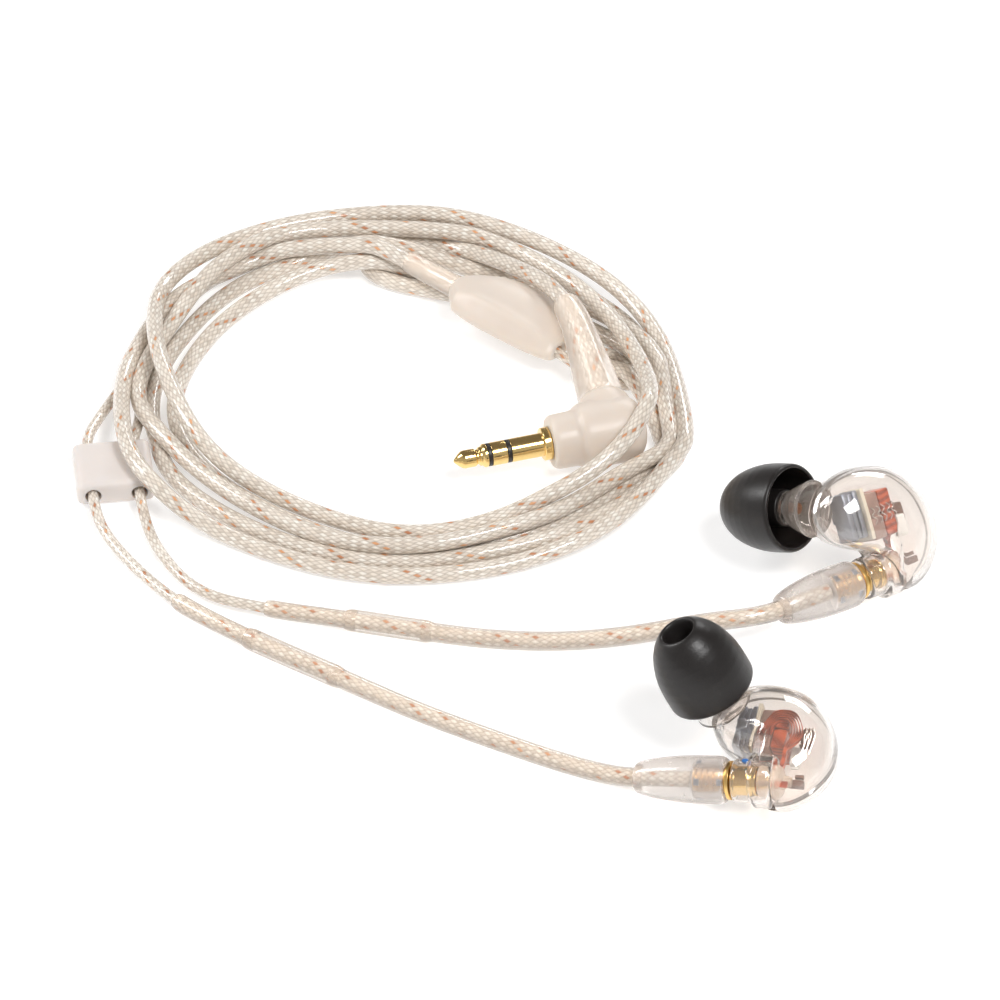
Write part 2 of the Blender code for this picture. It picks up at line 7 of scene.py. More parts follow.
import json
from math import cos, pi, radians, sin

import bmesh
import bpy
import numpy as np
from mathutils import Matrix, Vector

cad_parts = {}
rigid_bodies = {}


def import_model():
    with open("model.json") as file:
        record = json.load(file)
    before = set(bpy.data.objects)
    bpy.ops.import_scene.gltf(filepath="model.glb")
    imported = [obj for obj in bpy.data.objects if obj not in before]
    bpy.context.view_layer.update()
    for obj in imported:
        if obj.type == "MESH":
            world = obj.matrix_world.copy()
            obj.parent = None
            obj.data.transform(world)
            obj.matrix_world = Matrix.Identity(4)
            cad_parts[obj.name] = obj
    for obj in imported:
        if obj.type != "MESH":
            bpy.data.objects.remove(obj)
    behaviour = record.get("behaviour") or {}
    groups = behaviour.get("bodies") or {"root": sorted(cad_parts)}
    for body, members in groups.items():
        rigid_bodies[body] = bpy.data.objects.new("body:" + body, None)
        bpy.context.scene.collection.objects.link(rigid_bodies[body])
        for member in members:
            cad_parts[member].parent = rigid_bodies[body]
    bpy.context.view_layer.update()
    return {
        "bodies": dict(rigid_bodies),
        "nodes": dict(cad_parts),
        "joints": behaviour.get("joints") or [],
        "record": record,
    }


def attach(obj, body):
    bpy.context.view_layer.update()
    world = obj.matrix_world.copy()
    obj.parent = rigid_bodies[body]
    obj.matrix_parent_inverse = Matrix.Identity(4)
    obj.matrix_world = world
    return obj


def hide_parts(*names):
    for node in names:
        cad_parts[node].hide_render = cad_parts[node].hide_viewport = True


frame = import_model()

MM = 0.001

# Camera: a long lens, looking down on the layout from the front.
VIEW_ELEVATION = 41.0
VIEW_TARGET = (-42.3, 38.7, 0.0)
VIEW_DISTANCE = 1167.88
LENS_MM = 288.0
SENSOR_MM = 36.0
CLIP_END = 20.0

# Cords: radii, and where the moulded pieces that they run into lie.
SIDES = ("left", "right")
CABLE_RADIUS = 1.25
LEAD_RADIUS = 0.8
COIL_CENTRE = np.array([-57.6, 59.2])
LAY_STEP = 2.0
CABLE_STEP = 0.9
LEAD_STEP = 0.7
CABLE_EASE = 12
LEAD_EASE = 3
# Points held still at the cable's two ends and at a lead's first one.
CABLE_HELD = (16, 5)
LEAD_HELD = 3
Y_START = (-48.8, 81.3, 5.1)
Y_HEADING = -38.6
Y_HOLES = {"left": -1.6, "right": 1.6}
PLUG_AT = (-35.3, 45.6, 5.0)
PLUG_HEADING = 196.5
SLIDER_AT = (-98.8, 42.7, 2.0)
SLIDER_HEADING = -83.0
SLIDER_HOLES = {"left": -3.4, "right": 3.4}

# The cable from inside the plug's strain relief, up and over to the back of the coil.
FROM_PLUG = [
    (-27.2, 53.2, 6.0), (-28.6, 59.0, 7.2), (-30.0, 64.8, 8.3), (-31.2, 69.6, 9.2),
    (-32.2, 73.0, 9.7), (-33.5, 75.6, 9.6), (-35.2, 77.9, 8.9), (-37.1, 80.3, 8.1),
    (-39.4, 83.4, 7.0), (-42.3, 87.4, 5.5), (-45.2, 90.1, 4.3),
]
# The wound cable: angle about the coil's middle in degrees, radius and height. It turns back
# under the rear of the coil, then runs five times round, clockwise from above.
WOUND = [
    (74, 36.0, 2.2), (83, 38.3, 1.3), (92, 38.4, 1.3), (98.5, 36.8, 1.3), (101.5, 34.0, 1.3),
    (101, 31.0, 1.3), (97, 28.7, 1.3), (90, 27.5, 1.3), (77, 26.7, 1.3), (62, 27.0, 1.3),
    (45, 28.2, 1.3), (30, 30.6, 1.3), (15, 34.0, 1.3), (0, 37.2, 1.3),
    (-15, 39.2, 1.3), (-27, 38.8, 1.3), (-40, 37.5, 1.3), (-65, 34.8, 1.3), (-90, 33.8, 1.3),
    (-117, 31.3, 1.3), (-139, 31.4, 1.3), (-151, 32.3, 1.3), (-163, 32.9, 1.5), (-175, 33.4, 1.7),
    (-187, 32.8, 1.5), (-200, 32.0, 1.5), (-216, 32.1, 1.7), (-228, 31.2, 3.0), (-240, 30.8, 3.7),
    (-255, 31.3, 3.9), (-265, 30.1, 3.7), (-274, 29.2, 2.2), (-286, 29.0, 1.3), (-300, 29.3, 1.3),
    (-315, 30.8, 1.3), (-330, 33.6, 1.3), (-345, 37.4, 1.3), (-360, 40.4, 1.3), (-378, 41.6, 1.6),
    (-398, 41.3, 3.3), (-415, 40.2, 3.7), (-431, 38.2, 3.7), (-447, 37.0, 2.6), (-467, 36.2, 2.5),
    (-487, 35.7, 1.5), (-498, 36.0, 1.5), (-509, 37.1, 1.5), (-518, 37.7, 1.5), (-530, 37.4, 1.5),
    (-542, 36.9, 1.5), (-554, 36.2, 1.5), (-568, 35.5, 1.3), (-583, 36.3, 1.3), (-598, 37.0, 1.4),
    (-608, 36.6, 1.8), (-617, 35.6, 3.4), (-625, 34.6, 3.8), (-635, 33.8, 3.0), (-648, 33.2, 1.8),
    (-662, 33.0, 1.5), (-675, 33.6, 2.6), (-688, 35.4, 3.6), (-702, 37.8, 3.8), (-716, 39.4, 3.9),
    (-733, 39.2, 4.2), (-747, 37.6, 4.4), (-763, 36.8, 4.0), (-773, 36.0, 4.0), (-786, 35.2, 4.0),
    (-802, 35.8, 3.9), (-821, 35.6, 3.7), (-835, 33.8, 3.7), (-846, 33.3, 3.7), (-856, 33.3, 3.7),
    (-867, 34.0, 3.7), (-877, 35.1, 3.7), (-885, 37.0, 3.7), (-894, 39.0, 3.7), (-904, 39.0, 3.8),
    (-911, 38.2, 3.9), (-916, 37.3, 4.0), (-925, 36.2, 5.4), (-933, 37.0, 6.0), (-942, 37.7, 6.0),
    (-951, 38.2, 6.0), (-961, 38.2, 6.0), (-971, 37.3, 6.0), (-985, 35.6, 6.0), (-1004, 35.6, 6.0),
    (-1020, 34.9, 6.0), (-1030, 34.3, 6.3), (-1041, 34.2, 6.7), (-1052, 34.3, 7.0),
    (-1064, 34.9, 7.0), (-1075, 36.0, 7.4), (-1088, 37.8, 8.8), (-1097, 38.3, 9.8),
    (-1105, 38.4, 9.4), (-1113, 38.0, 8.8), (-1119, 37.0, 8.0), (-1126, 35.7, 7.0),
    (-1133, 34.8, 6.0), (-1140, 33.9, 5.0), (-1153, 33.0, 4.0), (-1170, 32.7, 4.0),
    (-1179, 31.3, 4.0), (-1189, 30.4, 4.0), (-1201, 29.8, 4.0), (-1211, 30.8, 5.0),
    (-1221, 31.7, 6.0), (-1229, 32.4, 7.0), (-1237, 33.0, 8.0), (-1245, 32.9, 8.5),
    (-1254, 33.9, 9.0), (-1265, 35.5, 9.0), (-1275, 37.5, 8.0), (-1284, 39.6, 7.0),
    (-1292, 41.6, 6.0), (-1299, 42.2, 6.0), (-1313, 41.2, 6.0), (-1330, 39.9, 6.0),
    (-1349, 39.3, 6.0), (-1361, 39.7, 6.0), (-1375, 38.6, 6.2), (-1390, 38.4, 6.2),
    (-1403, 39.2, 6.0), (-1412, 40.1, 5.2), (-1422, 40.7, 4.6), (-1434, 41.1, 4.2),
    (-1448, 41.8, 4.0), (-1458, 42.4, 4.0), (-1467, 43.0, 4.0), (-1478, 43.4, 4.0),
    (-1488, 43.2, 3.6), (-1497, 42.0, 3.0), (-1506, 40.8, 2.0), (-1517, 39.6, 1.3),
    (-1530, 39.1, 1.3), (-1541, 38.6, 1.3), (-1552, 38.3, 1.3), (-1564, 38.5, 1.3),
    (-1573, 39.6, 2.0), (-1579, 41.2, 4.0), (-1585, 42.9, 6.0), (-1591, 43.4, 7.0),
    (-1598, 42.6, 7.0), (-1607, 41.3, 6.0), (-1614, 40.6, 5.2), (-1622, 39.8, 4.6),
    (-1635, 39.6, 4.0), (-1643, 39.8, 3.9), (-1651, 40.2, 3.6), (-1659, 40.2, 2.6),
    (-1667, 39.4, 1.7), (-1674, 39.5, 1.5), (-1680, 38.8, 2.0), (-1688, 36.1, 3.2),
    (-1695, 34.1, 4.5), (-1702, 31.8, 5.0), (-1709, 30.0, 4.9),
]
INTO_Y = [(-56.0, 87.9, 4.8), (-52.8, 84.7, 5.0), (-49.1, 81.6, 5.1), (-47.0, 79.9, 5.1)]
# Where the two strain reliefs on the cable end.
PLUG_RELIEF_END = (-32.2, 73.0, 9.7)
Y_RELIEF_END = (-48.2, 80.9, 5.1)

# Each lead from the Y split: under the plug's strain relief, back round under the coil, then out
# to the slider. Angle, radius and height again between the two straight ends.
LEAD_WOUND = {
    "left": [
        (12, 31.5, 1.4), (7, 34.6, 0.9), (6.5, 37.0, 0.8), (10, 39.0, 0.8), (17, 39.8, 0.8),
        (30, 39.6, 0.8), (50, 38.2, 0.8), (75, 40.8, 0.8), (100, 41.0, 0.8), (125, 41.6, 0.8),
        (145, 41.6, 0.8), (158, 41.2, 0.8), (165, 40.9, 0.8), (171, 40.3, 0.9),
    ],
    "right": [
        (18, 32.6, 1.4), (14, 35.0, 0.9), (14.5, 36.8, 0.8), (18, 37.8, 0.8), (25, 37.8, 0.8),
        (38, 36.8, 0.8), (55, 36.3, 0.8), (75, 38.8, 0.8), (100, 39.2, 0.8), (125, 39.8, 0.8),
        (145, 39.6, 0.8), (160, 38.8, 0.8), (172, 38.2, 0.8), (182, 37.8, 1.0),
    ],
}
LEAD_TO_SLIDER = {
    "left": [(-99.7, 60.3, 0.9), (-101.5, 55.6, 1.2)],
    "right": [(-95.1, 54.4, 1.5)],
}
LEAD_FROM_SLIDER = {
    "left": [
        (-99.9, 30.3, 1.5), (-96.2, 24.4, 1.1), (-89.0, 15.2, 1.4), (-78.7, 6.9, 1.8),
        (-65.0, -1.9, 1.8), (-53.6, -8.8, 1.5), (-42.3, -14.9, 1.5), (-32.7, -19.7, 1.6),
    ],
    "right": [
        (-93.5, 31.3, 1.4), (-91.6, 26.1, 1.1), (-85.5, 17.3, 1.2), (-76.0, 13.5, 1.4),
        (-64.5, 10.6, 1.8), (-52.3, 7.9, 1.8), (-43.7, 6.7, 1.5), (-33.7, 5.9, 1.8),
        (-23.7, 5.6, 3.2), (-13.7, 5.9, 5.3), (-8.3, 5.9, 6.1),
    ],
}
# Each earphone's connector: its place, then heading, climb and roll in degrees.
EARPHONES = {
    "left": ((-9.9, -26.7, 5.05), -14.6, 11.0, 13.2),
    "right": ((9.1, 16.0, 4.42), 34.9, -6.1, -128.2),
}
HAND = {"left": 1, "right": -1}
BOOT_TAIL = -14.15

# The settling that lays the cords down, and the room that the cords leave for moulded pieces.
SETTLE_PASSES = 420
SETTLE_LAST = 0.85
SETTLE_FALL = 0.012
SETTLE_HOLD = 0.05
SETTLE_ROOM = 0.06
SETTLE_REACH = 1.5
SETTLE_SEARCH = 10
SETTLE_NEIGHBOURS = 5
FLOOR_ROOM = 0.02
PLUG_ROOM = [(-14.2, 2.9), (-13.4, 4.2), (-12.6, 4.7)] + [(-11.6 + k, 4.9) for k in range(10)]
# The Y split: how far along, width and height.
Y_ROOM = [
    (0, 4.4, 3.7), (1.6, 7.0, 4.5), (5, 9.4, 5.2), (10, 9.8, 5.2), (15.5, 9.4, 4.4),
    (19.2, 8.4, 3.5), (20.6, 6.6, 2.6),
]
# The slider and both ways that it slides.
SLIDER_ROOM_X = np.linspace(-7.2, 6.6, 24)
SLIDER_ROOM_Y = np.linspace(-4.7, 4.7, 15)
SLIDER_ROOM_Z = (-0.95, 0.95)
SLIDER_ROOM_RADIUS = 1.08


def heading_matrix(at, heading, climb=0.0, roll=0.0):
    """A frame in metres at a millimetre point, as the CAD part lays out its pieces."""
    return (
        Matrix.Translation(Vector(at) * MM)
        @ Matrix.Rotation(radians(heading), 4, "Z")
        @ Matrix.Rotation(radians(-climb), 4, "Y")
        @ Matrix.Rotation(radians(roll), 4, "X")
    )


def in_frame(matrix, points):
    """Millimetre points of a frame as millimetre world points."""
    return [tuple(matrix @ (Vector(p) * MM) / MM) for p in points]


def polar(rows):
    """World points from angle, radius and height about the coil's middle."""
    rows = np.array(rows, float)
    angle = np.radians(rows[:, 0])
    flat = COIL_CENTRE + rows[:, 1:2] * np.stack([np.cos(angle), np.sin(angle)], 1)
    return np.column_stack([flat, rows[:, 2]])


def curve_through(points, step):
    """Evenly spaced points on a smooth curve through the points."""
    points = np.array(points, float)
    before = 2 * points[0] - points[1]
    after = 2 * points[-1] - points[-2]
    padded = np.concatenate([[before], points, [after]])
    t = np.linspace(0, 1, 24, endpoint=False)[:, None]
    dense = []
    for a, b, c, d in zip(padded, padded[1:], padded[2:], padded[3:]):
        near = 2 * b + (c - a) * t
        far = (2 * a - 5 * b + 4 * c - d) * t**2 + (3 * b - a - 3 * c + d) * t**3
        dense.append(0.5 * (near + far))
    return spaced(np.concatenate([*dense, points[-1:]]), step)


def lengths_along(line):
    return np.concatenate([[0], np.cumsum(np.linalg.norm(np.diff(line, axis=0), axis=1))])


def spaced(line, step):
    """The line's points again, evenly spaced."""
    along = lengths_along(line)
    at = np.linspace(0, along[-1], max(2, round(along[-1] / step) + 1))
    return np.stack([np.interp(at, along, line[:, k]) for k in range(3)], 1)


def eased(line, passes):
    """The line with its small unevenness smoothed away, its ends kept."""
    line = line.copy()
    for _ in range(passes):
        line[1:-1] += 0.5 * (0.5 * (line[:-2] + line[2:]) - line[1:-1])
    return line


def obstacles():
    """Fixed balls that fill the plug, the Y split and the slider: centre and radius."""
    plug = heading_matrix(PLUG_AT, PLUG_HEADING)
    balls = [(*in_frame(plug, [(x, 0, 0)])[0], radius) for x, radius in PLUG_ROOM]
    y_split = heading_matrix(Y_START, Y_HEADING)
    at, widths, heights = zip(*Y_ROOM)
    for x in range(21):
        radius = np.interp(x, at, heights) / 2 * 0.94
        reach = np.interp(x, at, widths) / 2 - radius
        sink = np.interp(x, [10, 20.6], [0.0, -0.7])
        for share in (-1, -0.5, 0, 0.5, 1):
            balls.append((*in_frame(y_split, [(x, share * reach, sink)])[0], radius))
    slider = heading_matrix(SLIDER_AT, SLIDER_HEADING)
    grid = [(x, y, z) for x in SLIDER_ROOM_X for y in SLIDER_ROOM_Y for z in SLIDER_ROOM_Z]
    balls += [(*point, SLIDER_ROOM_RADIUS) for point in in_frame(slider, grid)]
    return np.array(balls, float)


def pushed_apart(place, radius, pairs, fixed, close):
    """How far each point moves away from the strands and the fixed balls that it touches."""
    total = np.zeros_like(place)
    count = np.zeros(len(place))
    i, j = pairs
    away = place[i] - place[j]
    size = np.linalg.norm(away, axis=1) + 1e-9
    short = np.clip(radius[i] + radius[j] + SETTLE_ROOM - size, 0, None)
    push = away * (0.5 * short / size)[:, None]
    np.add.at(total, i, push)
    np.add.at(total, j, -push)
    np.add.at(count, i, short > 0)
    np.add.at(count, j, short > 0)
    m, n = close
    away = place[m] - fixed[n, :3]
    size = np.linalg.norm(away, axis=1) + 1e-9
    short = np.clip(radius[m] + fixed[n, 3] + SETTLE_ROOM - size, 0, None)
    np.add.at(total, m, away * (short / size)[:, None])
    np.add.at(count, m, short > 0)
    return total / np.maximum(count, 1)[:, None] ** 0.6


def held_and_inside(cords):
    """Which points are held at the cords' ends, and the numbers of those with two neighbours."""
    held = []
    inner = []
    for cord in cords:
        from_start = np.arange(len(cord["line"]))
        from_end = from_start[::-1]
        held.append((from_start < cord["held"][0]) | (from_end < cord["held"][1]))
        inner.append((from_start > 0) & (from_end > 0))
    return np.concatenate(held), np.flatnonzero(np.concatenate(inner))


def settle(cords, fixed):
    """Lays cords down: strands keep a diameter apart and off the floor and the fixed balls.

    Each cord has points, a radius and the number of held points at its two ends. A point may
    slide freely along the line of sight, and is drawn back to its route across it.
    """
    start = np.concatenate([cord["line"] for cord in cords])
    radius = np.concatenate([np.full(len(cord["line"]), cord["radius"]) for cord in cords])
    owner = np.concatenate([np.full(len(cord["line"]), k) for k, cord in enumerate(cords)])
    held, inside = held_and_inside(cords)
    sight = np.array([0.0, cos(radians(VIEW_ELEVATION)), -sin(radians(VIEW_ELEVATION))])
    order = np.arange(len(start))
    apart = np.abs(order[:, None] - order[None]) > SETTLE_NEIGHBOURS
    apart |= owner[:, None] != owner[None]
    apart &= order[:, None] < order[None]
    apart &= ~(held[:, None] & held[None])
    moved = np.zeros_like(start)
    for turn in range(SETTLE_PASSES):
        last = turn > SETTLE_PASSES * SETTLE_LAST
        if not last:
            moved[:, 2] -= SETTLE_FALL
            across = moved - (moved @ sight)[:, None] * sight
            moved -= SETTLE_HOLD * across
        if not last or turn % 3 == 0:
            level = 0.5 * (moved[inside - 1] + moved[inside + 1])
            moved[inside] += (0.25 if last else 0.5) * (level - moved[inside])
        moved[held] = 0
        place = start + moved
        if turn % SETTLE_SEARCH == 0:
            gap = np.linalg.norm(place[:, None] - place[None], axis=2)
            pairs = np.nonzero(apart & (gap < radius[:, None] + radius[None] + SETTLE_REACH))
            gap = np.linalg.norm(place[:, None] - fixed[None, :, :3], axis=2)
            near = gap < radius[:, None] + fixed[None, :, 3] + SETTLE_REACH
            close = np.nonzero(near & ~held[:, None])
        moved += pushed_apart(place, radius, pairs, fixed, close)
        moved[held] = 0
        under = radius + FLOOR_ROOM - (start + moved)[:, 2]
        moved[:, 2] += np.clip(under, 0, None) * ~held
    return np.split(start + moved, np.cumsum([len(cord["line"]) for cord in cords])[:-1])


def boot_point(side, x):
    """A world point on the axis of an earphone's connector."""
    return in_frame(heading_matrix(*EARPHONES[side]), [(x, 0, 0)])[0]


def slider_points(side):
    """Points on a lead's way through the slider."""
    through = [(x, SLIDER_HOLES[side], 0) for x in (-7.9, -3.95, 0.0, 3.95, 7.9)]
    return in_frame(heading_matrix(SLIDER_AT, SLIDER_HEADING), through)


def lead_route(side):
    """The whole lead: from inside the Y split, round the coil and through the slider to its boot."""
    y = Y_HOLES[side]
    out = [(17.0, y, -0.7), (21.0, y, -0.8), (25.0, y, -1.9)]
    return np.array([
        *in_frame(heading_matrix(Y_START, Y_HEADING), out), *polar(LEAD_WOUND[side]),
        *LEAD_TO_SLIDER[side], *slider_points(side), *LEAD_FROM_SLIDER[side],
        *(boot_point(side, BOOT_TAIL + x) for x in (-2.4, 0.0, 4.0, 8.4)),
    ])


def lay_cords():
    """The settled centrelines of the cable and of both leads, in millimetres."""
    route = np.concatenate([np.array(FROM_PLUG), polar(WOUND), np.array(INTO_Y)])
    cable = eased(curve_through(route, LAY_STEP), CABLE_EASE)
    cords = [{"line": cable, "radius": CABLE_RADIUS, "held": CABLE_HELD}]
    for side in SIDES:
        line = eased(curve_through(lead_route(side), LAY_STEP), LEAD_EASE)
        entry = np.array(slider_points(side)[0])
        after = int(np.argmin(np.linalg.norm(line - entry, axis=1)))
        held = (LEAD_HELD, len(line) - after + 1)
        cords.append({"line": line, "radius": LEAD_RADIUS, "held": held})
    return settle(cords, obstacles())


def tube_bmesh(line, radius, sides):
    """A closed round tube along millimetre points, with a UV map of length and turn."""
    line = np.array(line, float) * MM
    along = lengths_along(line)
    radii = np.broadcast_to(np.asarray(radius, float) * MM, len(line))
    heading = np.gradient(line, axis=0)
    heading /= np.linalg.norm(heading, axis=1)[:, None]
    across = np.cross(heading[0], (0.0, 0.0, 1.0))
    if np.linalg.norm(across) < 1e-3:
        across = np.cross(heading[0], (0.0, 1.0, 0.0))
    turn = np.linspace(0, 2 * pi, sides, endpoint=False)
    bm = bmesh.new()
    rings = []
    for point, way, r in zip(line, heading, radii):
        across = across - way * (across @ way)
        across /= np.linalg.norm(across)
        up = np.cross(across, way)
        ring = point + r * (np.cos(turn)[:, None] * across + np.sin(turn)[:, None] * up)
        rings.append([bm.verts.new(p) for p in ring])
    layer = bm.loops.layers.uv.new("UVMap")
    for k, (low, high) in enumerate(zip(rings, rings[1:])):
        for i in range(sides):
            j = (i + 1) % sides
            face = bm.faces.new((low[i], low[j], high[j], high[i]))
            marks = ((k, i), (k, i + 1), (k + 1, i + 1), (k + 1, i))
            for loop, (ring, step) in zip(face.loops, marks):
                loop[layer].uv = (along[ring], step / sides)
    bm.faces.new(rings[0])
    bm.faces.new(rings[-1][::-1])
    bmesh.ops.recalc_face_normals(bm, faces=bm.faces)
    return bm


def linked(name, data):
    """A new object in the scene."""
    made = bpy.data.objects.new(name, data)
    bpy.context.scene.collection.objects.link(made)
    return made


def mesh_of(name, bm):
    mesh = bpy.data.meshes.new(name)
    bm.to_mesh(mesh)
    bm.free()
    return mesh


def meshed(name, bm, sharp):
    """The bmesh as a smooth object; its edges stay sharp above an angle in degrees."""
    mesh = mesh_of(name, bm)
    mesh.shade_smooth()
    mesh.set_sharp_from_angle(angle=radians(sharp))
    return linked(name, mesh)


def finished(obj, finish, body, slot, replaced):
    """The object with its finish, riding on a body in the place of CAD nodes."""
    obj.data.materials.append(FINISH[finish])
    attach(obj, body)
    if replaced:
        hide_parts(*replaced)
    return obj


def camera():
    data = bpy.data.cameras.new("camera")
    data.lens = LENS_MM
    data.sensor_width = SENSOR_MM
    data.clip_end = CLIP_END
    made = linked("camera", data)
    tilt = radians(VIEW_ELEVATION)
    away = Vector((0.0, -cos(tilt), sin(tilt))) * VIEW_DISTANCE
    made.location = (Vector(VIEW_TARGET) + away) * MM
    made.rotation_euler = (pi / 2 - tilt, 0.0, 0.0)
    bpy.context.scene.camera = made


# Finishes

# What clear plastic leaves of a lamp's light, and the milk in the shells.
SHADOW_TINT = (0.9, 0.87, 0.84)
SHELL_MILK = (0.74, 0.66, 0.60)


class Finish:
    """A material being built: its node tree, its shader and short ways to add nodes."""

    def __init__(self, name, colour, roughness, **inputs):
        self.material = bpy.data.materials.new(name)
        self.material.use_nodes = True
        self.tree = self.material.node_tree
        self.shader = self.tree.nodes["Principled BSDF"]
        self.output = self.tree.nodes["Material Output"]
        self.feed(self.shader.inputs["Base Color"], colour)
        self.feed(self.shader.inputs["Roughness"], roughness)
        for key, value in inputs.items():
            self.shader.inputs[key.replace("_", " ")].default_value = value

    def node(self, kind, **settings):
        made = self.tree.nodes.new("ShaderNode" + kind)
        for key, value in settings.items():
            setattr(made, key, value)
        return made

    def wire(self, source, target):
        self.tree.links.new(source, target)

    def feed(self, socket, value):
        """Gives a socket a number or a colour, or wires it to another one."""
        if isinstance(value, tuple):
            socket.default_value = (*value, 1.0)
        elif isinstance(value, (int, float)):
            socket.default_value = value
        else:
            self.wire(value, socket)

    def math(self, operation, *values):
        made = self.node("Math", operation=operation)
        for socket, value in zip(made.inputs, values):
            self.feed(socket, value)
        return made.outputs[0]

    def mixed(self, factor, low, high):
        """A colour between two, each a colour or a socket."""
        made = self.node("Mix", data_type="RGBA")
        self.feed(made.inputs[0], factor)
        self.feed(made.inputs[6], low)
        self.feed(made.inputs[7], high)
        return made.outputs[2]

    def colour(self, factor, low, high):
        """Colours the shader between two colours."""
        self.wire(self.mixed(factor, low, high), self.shader.inputs["Base Color"])

    def skin(self, texture, low, high, depth, strength=0.3):
        """Colours and bumps the shader by one texture."""
        self.colour(texture, low, high)
        self.bump(texture, depth, strength)

    def over_piece(self, kind, scale, **settings):
        """A texture node over the piece; scale is in waves per metre."""
        made = self.node(kind, **settings)
        made.inputs["Scale"].default_value = scale
        self.wire(self.node("TexCoord").outputs["Object"], made.inputs["Vector"])
        return made

    def noise(self, scale, detail=3.0):
        made = self.over_piece("TexNoise", scale)
        made.inputs["Detail"].default_value = detail
        return made.outputs["Fac"]

    def bump(self, height, distance, strength):
        made = self.node("Bump")
        made.inputs["Distance"].default_value = distance
        made.inputs["Strength"].default_value = strength
        self.wire(height, made.inputs["Height"])
        self.wire(made.outputs[0], self.shader.inputs["Normal"])

    def uneven(self, value, low, high):
        """Drives the shader's roughness from a value of 0 to 1."""
        made = self.node("MapRange")
        made.inputs["To Min"].default_value = low
        made.inputs["To Max"].default_value = high
        self.wire(value, made.inputs["Value"])
        self.wire(made.outputs[0], self.shader.inputs["Roughness"])

    def blended(self, factor, first, second):
        """Puts a mix of two shader sockets on the output."""
        mix = self.node("MixShader")
        self.feed(mix.inputs[0], factor)
        self.wire(first, mix.inputs[1])
        self.wire(second, mix.inputs[2])
        self.wire(mix.outputs[0], self.output.inputs[0])
        return mix.outputs[0]


def braid_finish(name, around, pitch):
    """A diamond braid of pale and grey yarns with two broken copper ones, under a clear jacket, with
    painted shade darkening the gaps between the yarns.

    U is the length in metres and V one turn; pitch is how far one yarn takes to go round.
    """
    f = Finish(name, (0.8, 0.75, 0.68), 0.34, Coat_Weight=1.0, Coat_Roughness=0.1, Coat_IOR=1.5)
    split = f.node("SeparateXYZ")
    f.wire(f.node("TexCoord").outputs["UV"], split.inputs[0])
    along = f.math("MULTIPLY", split.outputs[0], around / pitch)
    turn = f.math("MULTIPLY", split.outputs[1], float(around))
    first = f.math("ADD", along, turn)
    second = f.math("SUBTRACT", along, turn)
    first_yarn = f.math("FLOOR", first)
    second_yarn = f.math("FLOOR", second)
    over = f.math("FLOORED_MODULO", f.math("ADD", first_yarn, second_yarn), 2.0)
    first_wave = f.math("SINE", f.math("MULTIPLY", f.math("FRACT", first), pi))
    second_wave = f.math("SINE", f.math("MULTIPLY", f.math("FRACT", second), pi))
    first_top = f.math("MULTIPLY", first_wave, f.math("POWER", second_wave, 0.35))
    second_top = f.math("MULTIPLY", second_wave, f.math("POWER", first_wave, 0.35))
    height = f.math("MULTIPLY_ADD", f.math("SUBTRACT", second_top, first_top), over, first_top)
    cell = f.node("CombineXYZ")
    f.wire(f.math("FLOORED_MODULO", first_yarn, float(around)), cell.inputs[0])
    f.wire(f.math("ADD", first_yarn, second_yarn), cell.inputs[1])
    chance = f.node("TexWhiteNoise", noise_dimensions="3D")
    f.wire(cell.outputs[0], chance.inputs["Vector"])
    chance = chance.outputs["Value"]
    pale = f.mixed(chance, (0.86, 0.76, 0.65), (1.0, 0.96, 0.88))
    grey = f.mixed(chance, (0.66, 0.575, 0.49), (0.90, 0.815, 0.72))
    copper = f.mixed(chance, (0.52, 0.19, 0.075), (0.80, 0.40, 0.19))
    is_copper = f.math("LESS_THAN", f.math("FLOORED_MODULO", first_yarn, around / 2), 0.5)
    dash = f.math("LESS_THAN", f.math("FLOORED_MODULO", second_yarn, 12.0), 5.5)
    on_top = f.math("SUBTRACT", 1.0, over)
    for test in (f.math("GREATER_THAN", first_wave, 0.4), dash, on_top):
        is_copper = f.math("MULTIPLY", is_copper, test)
    yarns = f.mixed(is_copper, f.mixed(over, pale, grey), copper)
    # Painted shade: where the yarns sink between each other the colour runs down to a dark brown,
    # standing in for the shade that falls in the gaps.
    f.colour(f.math("POWER", height, 0.45), (0.46, 0.385, 0.31), yarns)
    f.bump(height, 0.00012, 0.7)
    return f.material


def milky_finish(name, colour, roughness=0.36, depth=0.0022):
    """Soft translucent plastic: light scatters below a satin skin."""
    f = Finish(
        name, colour, roughness,
        Subsurface_Weight=0.85, Subsurface_Scale=depth, Subsurface_Radius=(1.0, 0.88, 0.76), IOR=1.45,
    )
    f.colour(f.noise(260.0, 4.0), tuple(c * 0.94 for c in colour), colour)
    f.uneven(f.noise(900.0), roughness - 0.06, roughness + 0.08)
    f.bump(f.noise(2400.0, 2.0), 0.00002, 0.25)
    return f.material


def frosted_finish(name, tint, milk, share, roughness=0.3, ior=1.42, coat=1.0):
    """Clear or frosted plastic: glass with a share of milk, so that what it holds shows through.

    It is clear to shadow rays, so that what lies inside or behind it is lit.
    """
    f = Finish(
        name, tint, roughness, Transmission_Weight=1.0, IOR=ior, Coat_Weight=coat,
        Coat_Roughness=roughness * 0.5,
    )
    f.uneven(f.noise(500.0), roughness * 0.7, roughness * 1.3)
    f.bump(f.noise(170.0, 1.0), 0.00003, 0.3)
    body = f.node("BsdfPrincipled")
    body.inputs["Roughness"].default_value = 0.35
    pale = tuple(min(1.0, c * 1.06) for c in milk)
    f.wire(f.mixed(f.noise(300.0), milk, pale), body.inputs["Base Color"])
    plastic = f.blended(share, f.shader.outputs[0], body.outputs[0])
    see_through = f.node("BsdfTransparent")
    f.feed(see_through.inputs[0], SHADOW_TINT)
    f.blended(f.node("LightPath").outputs["Is Shadow Ray"], plastic, see_through.outputs[0])
    return f.material


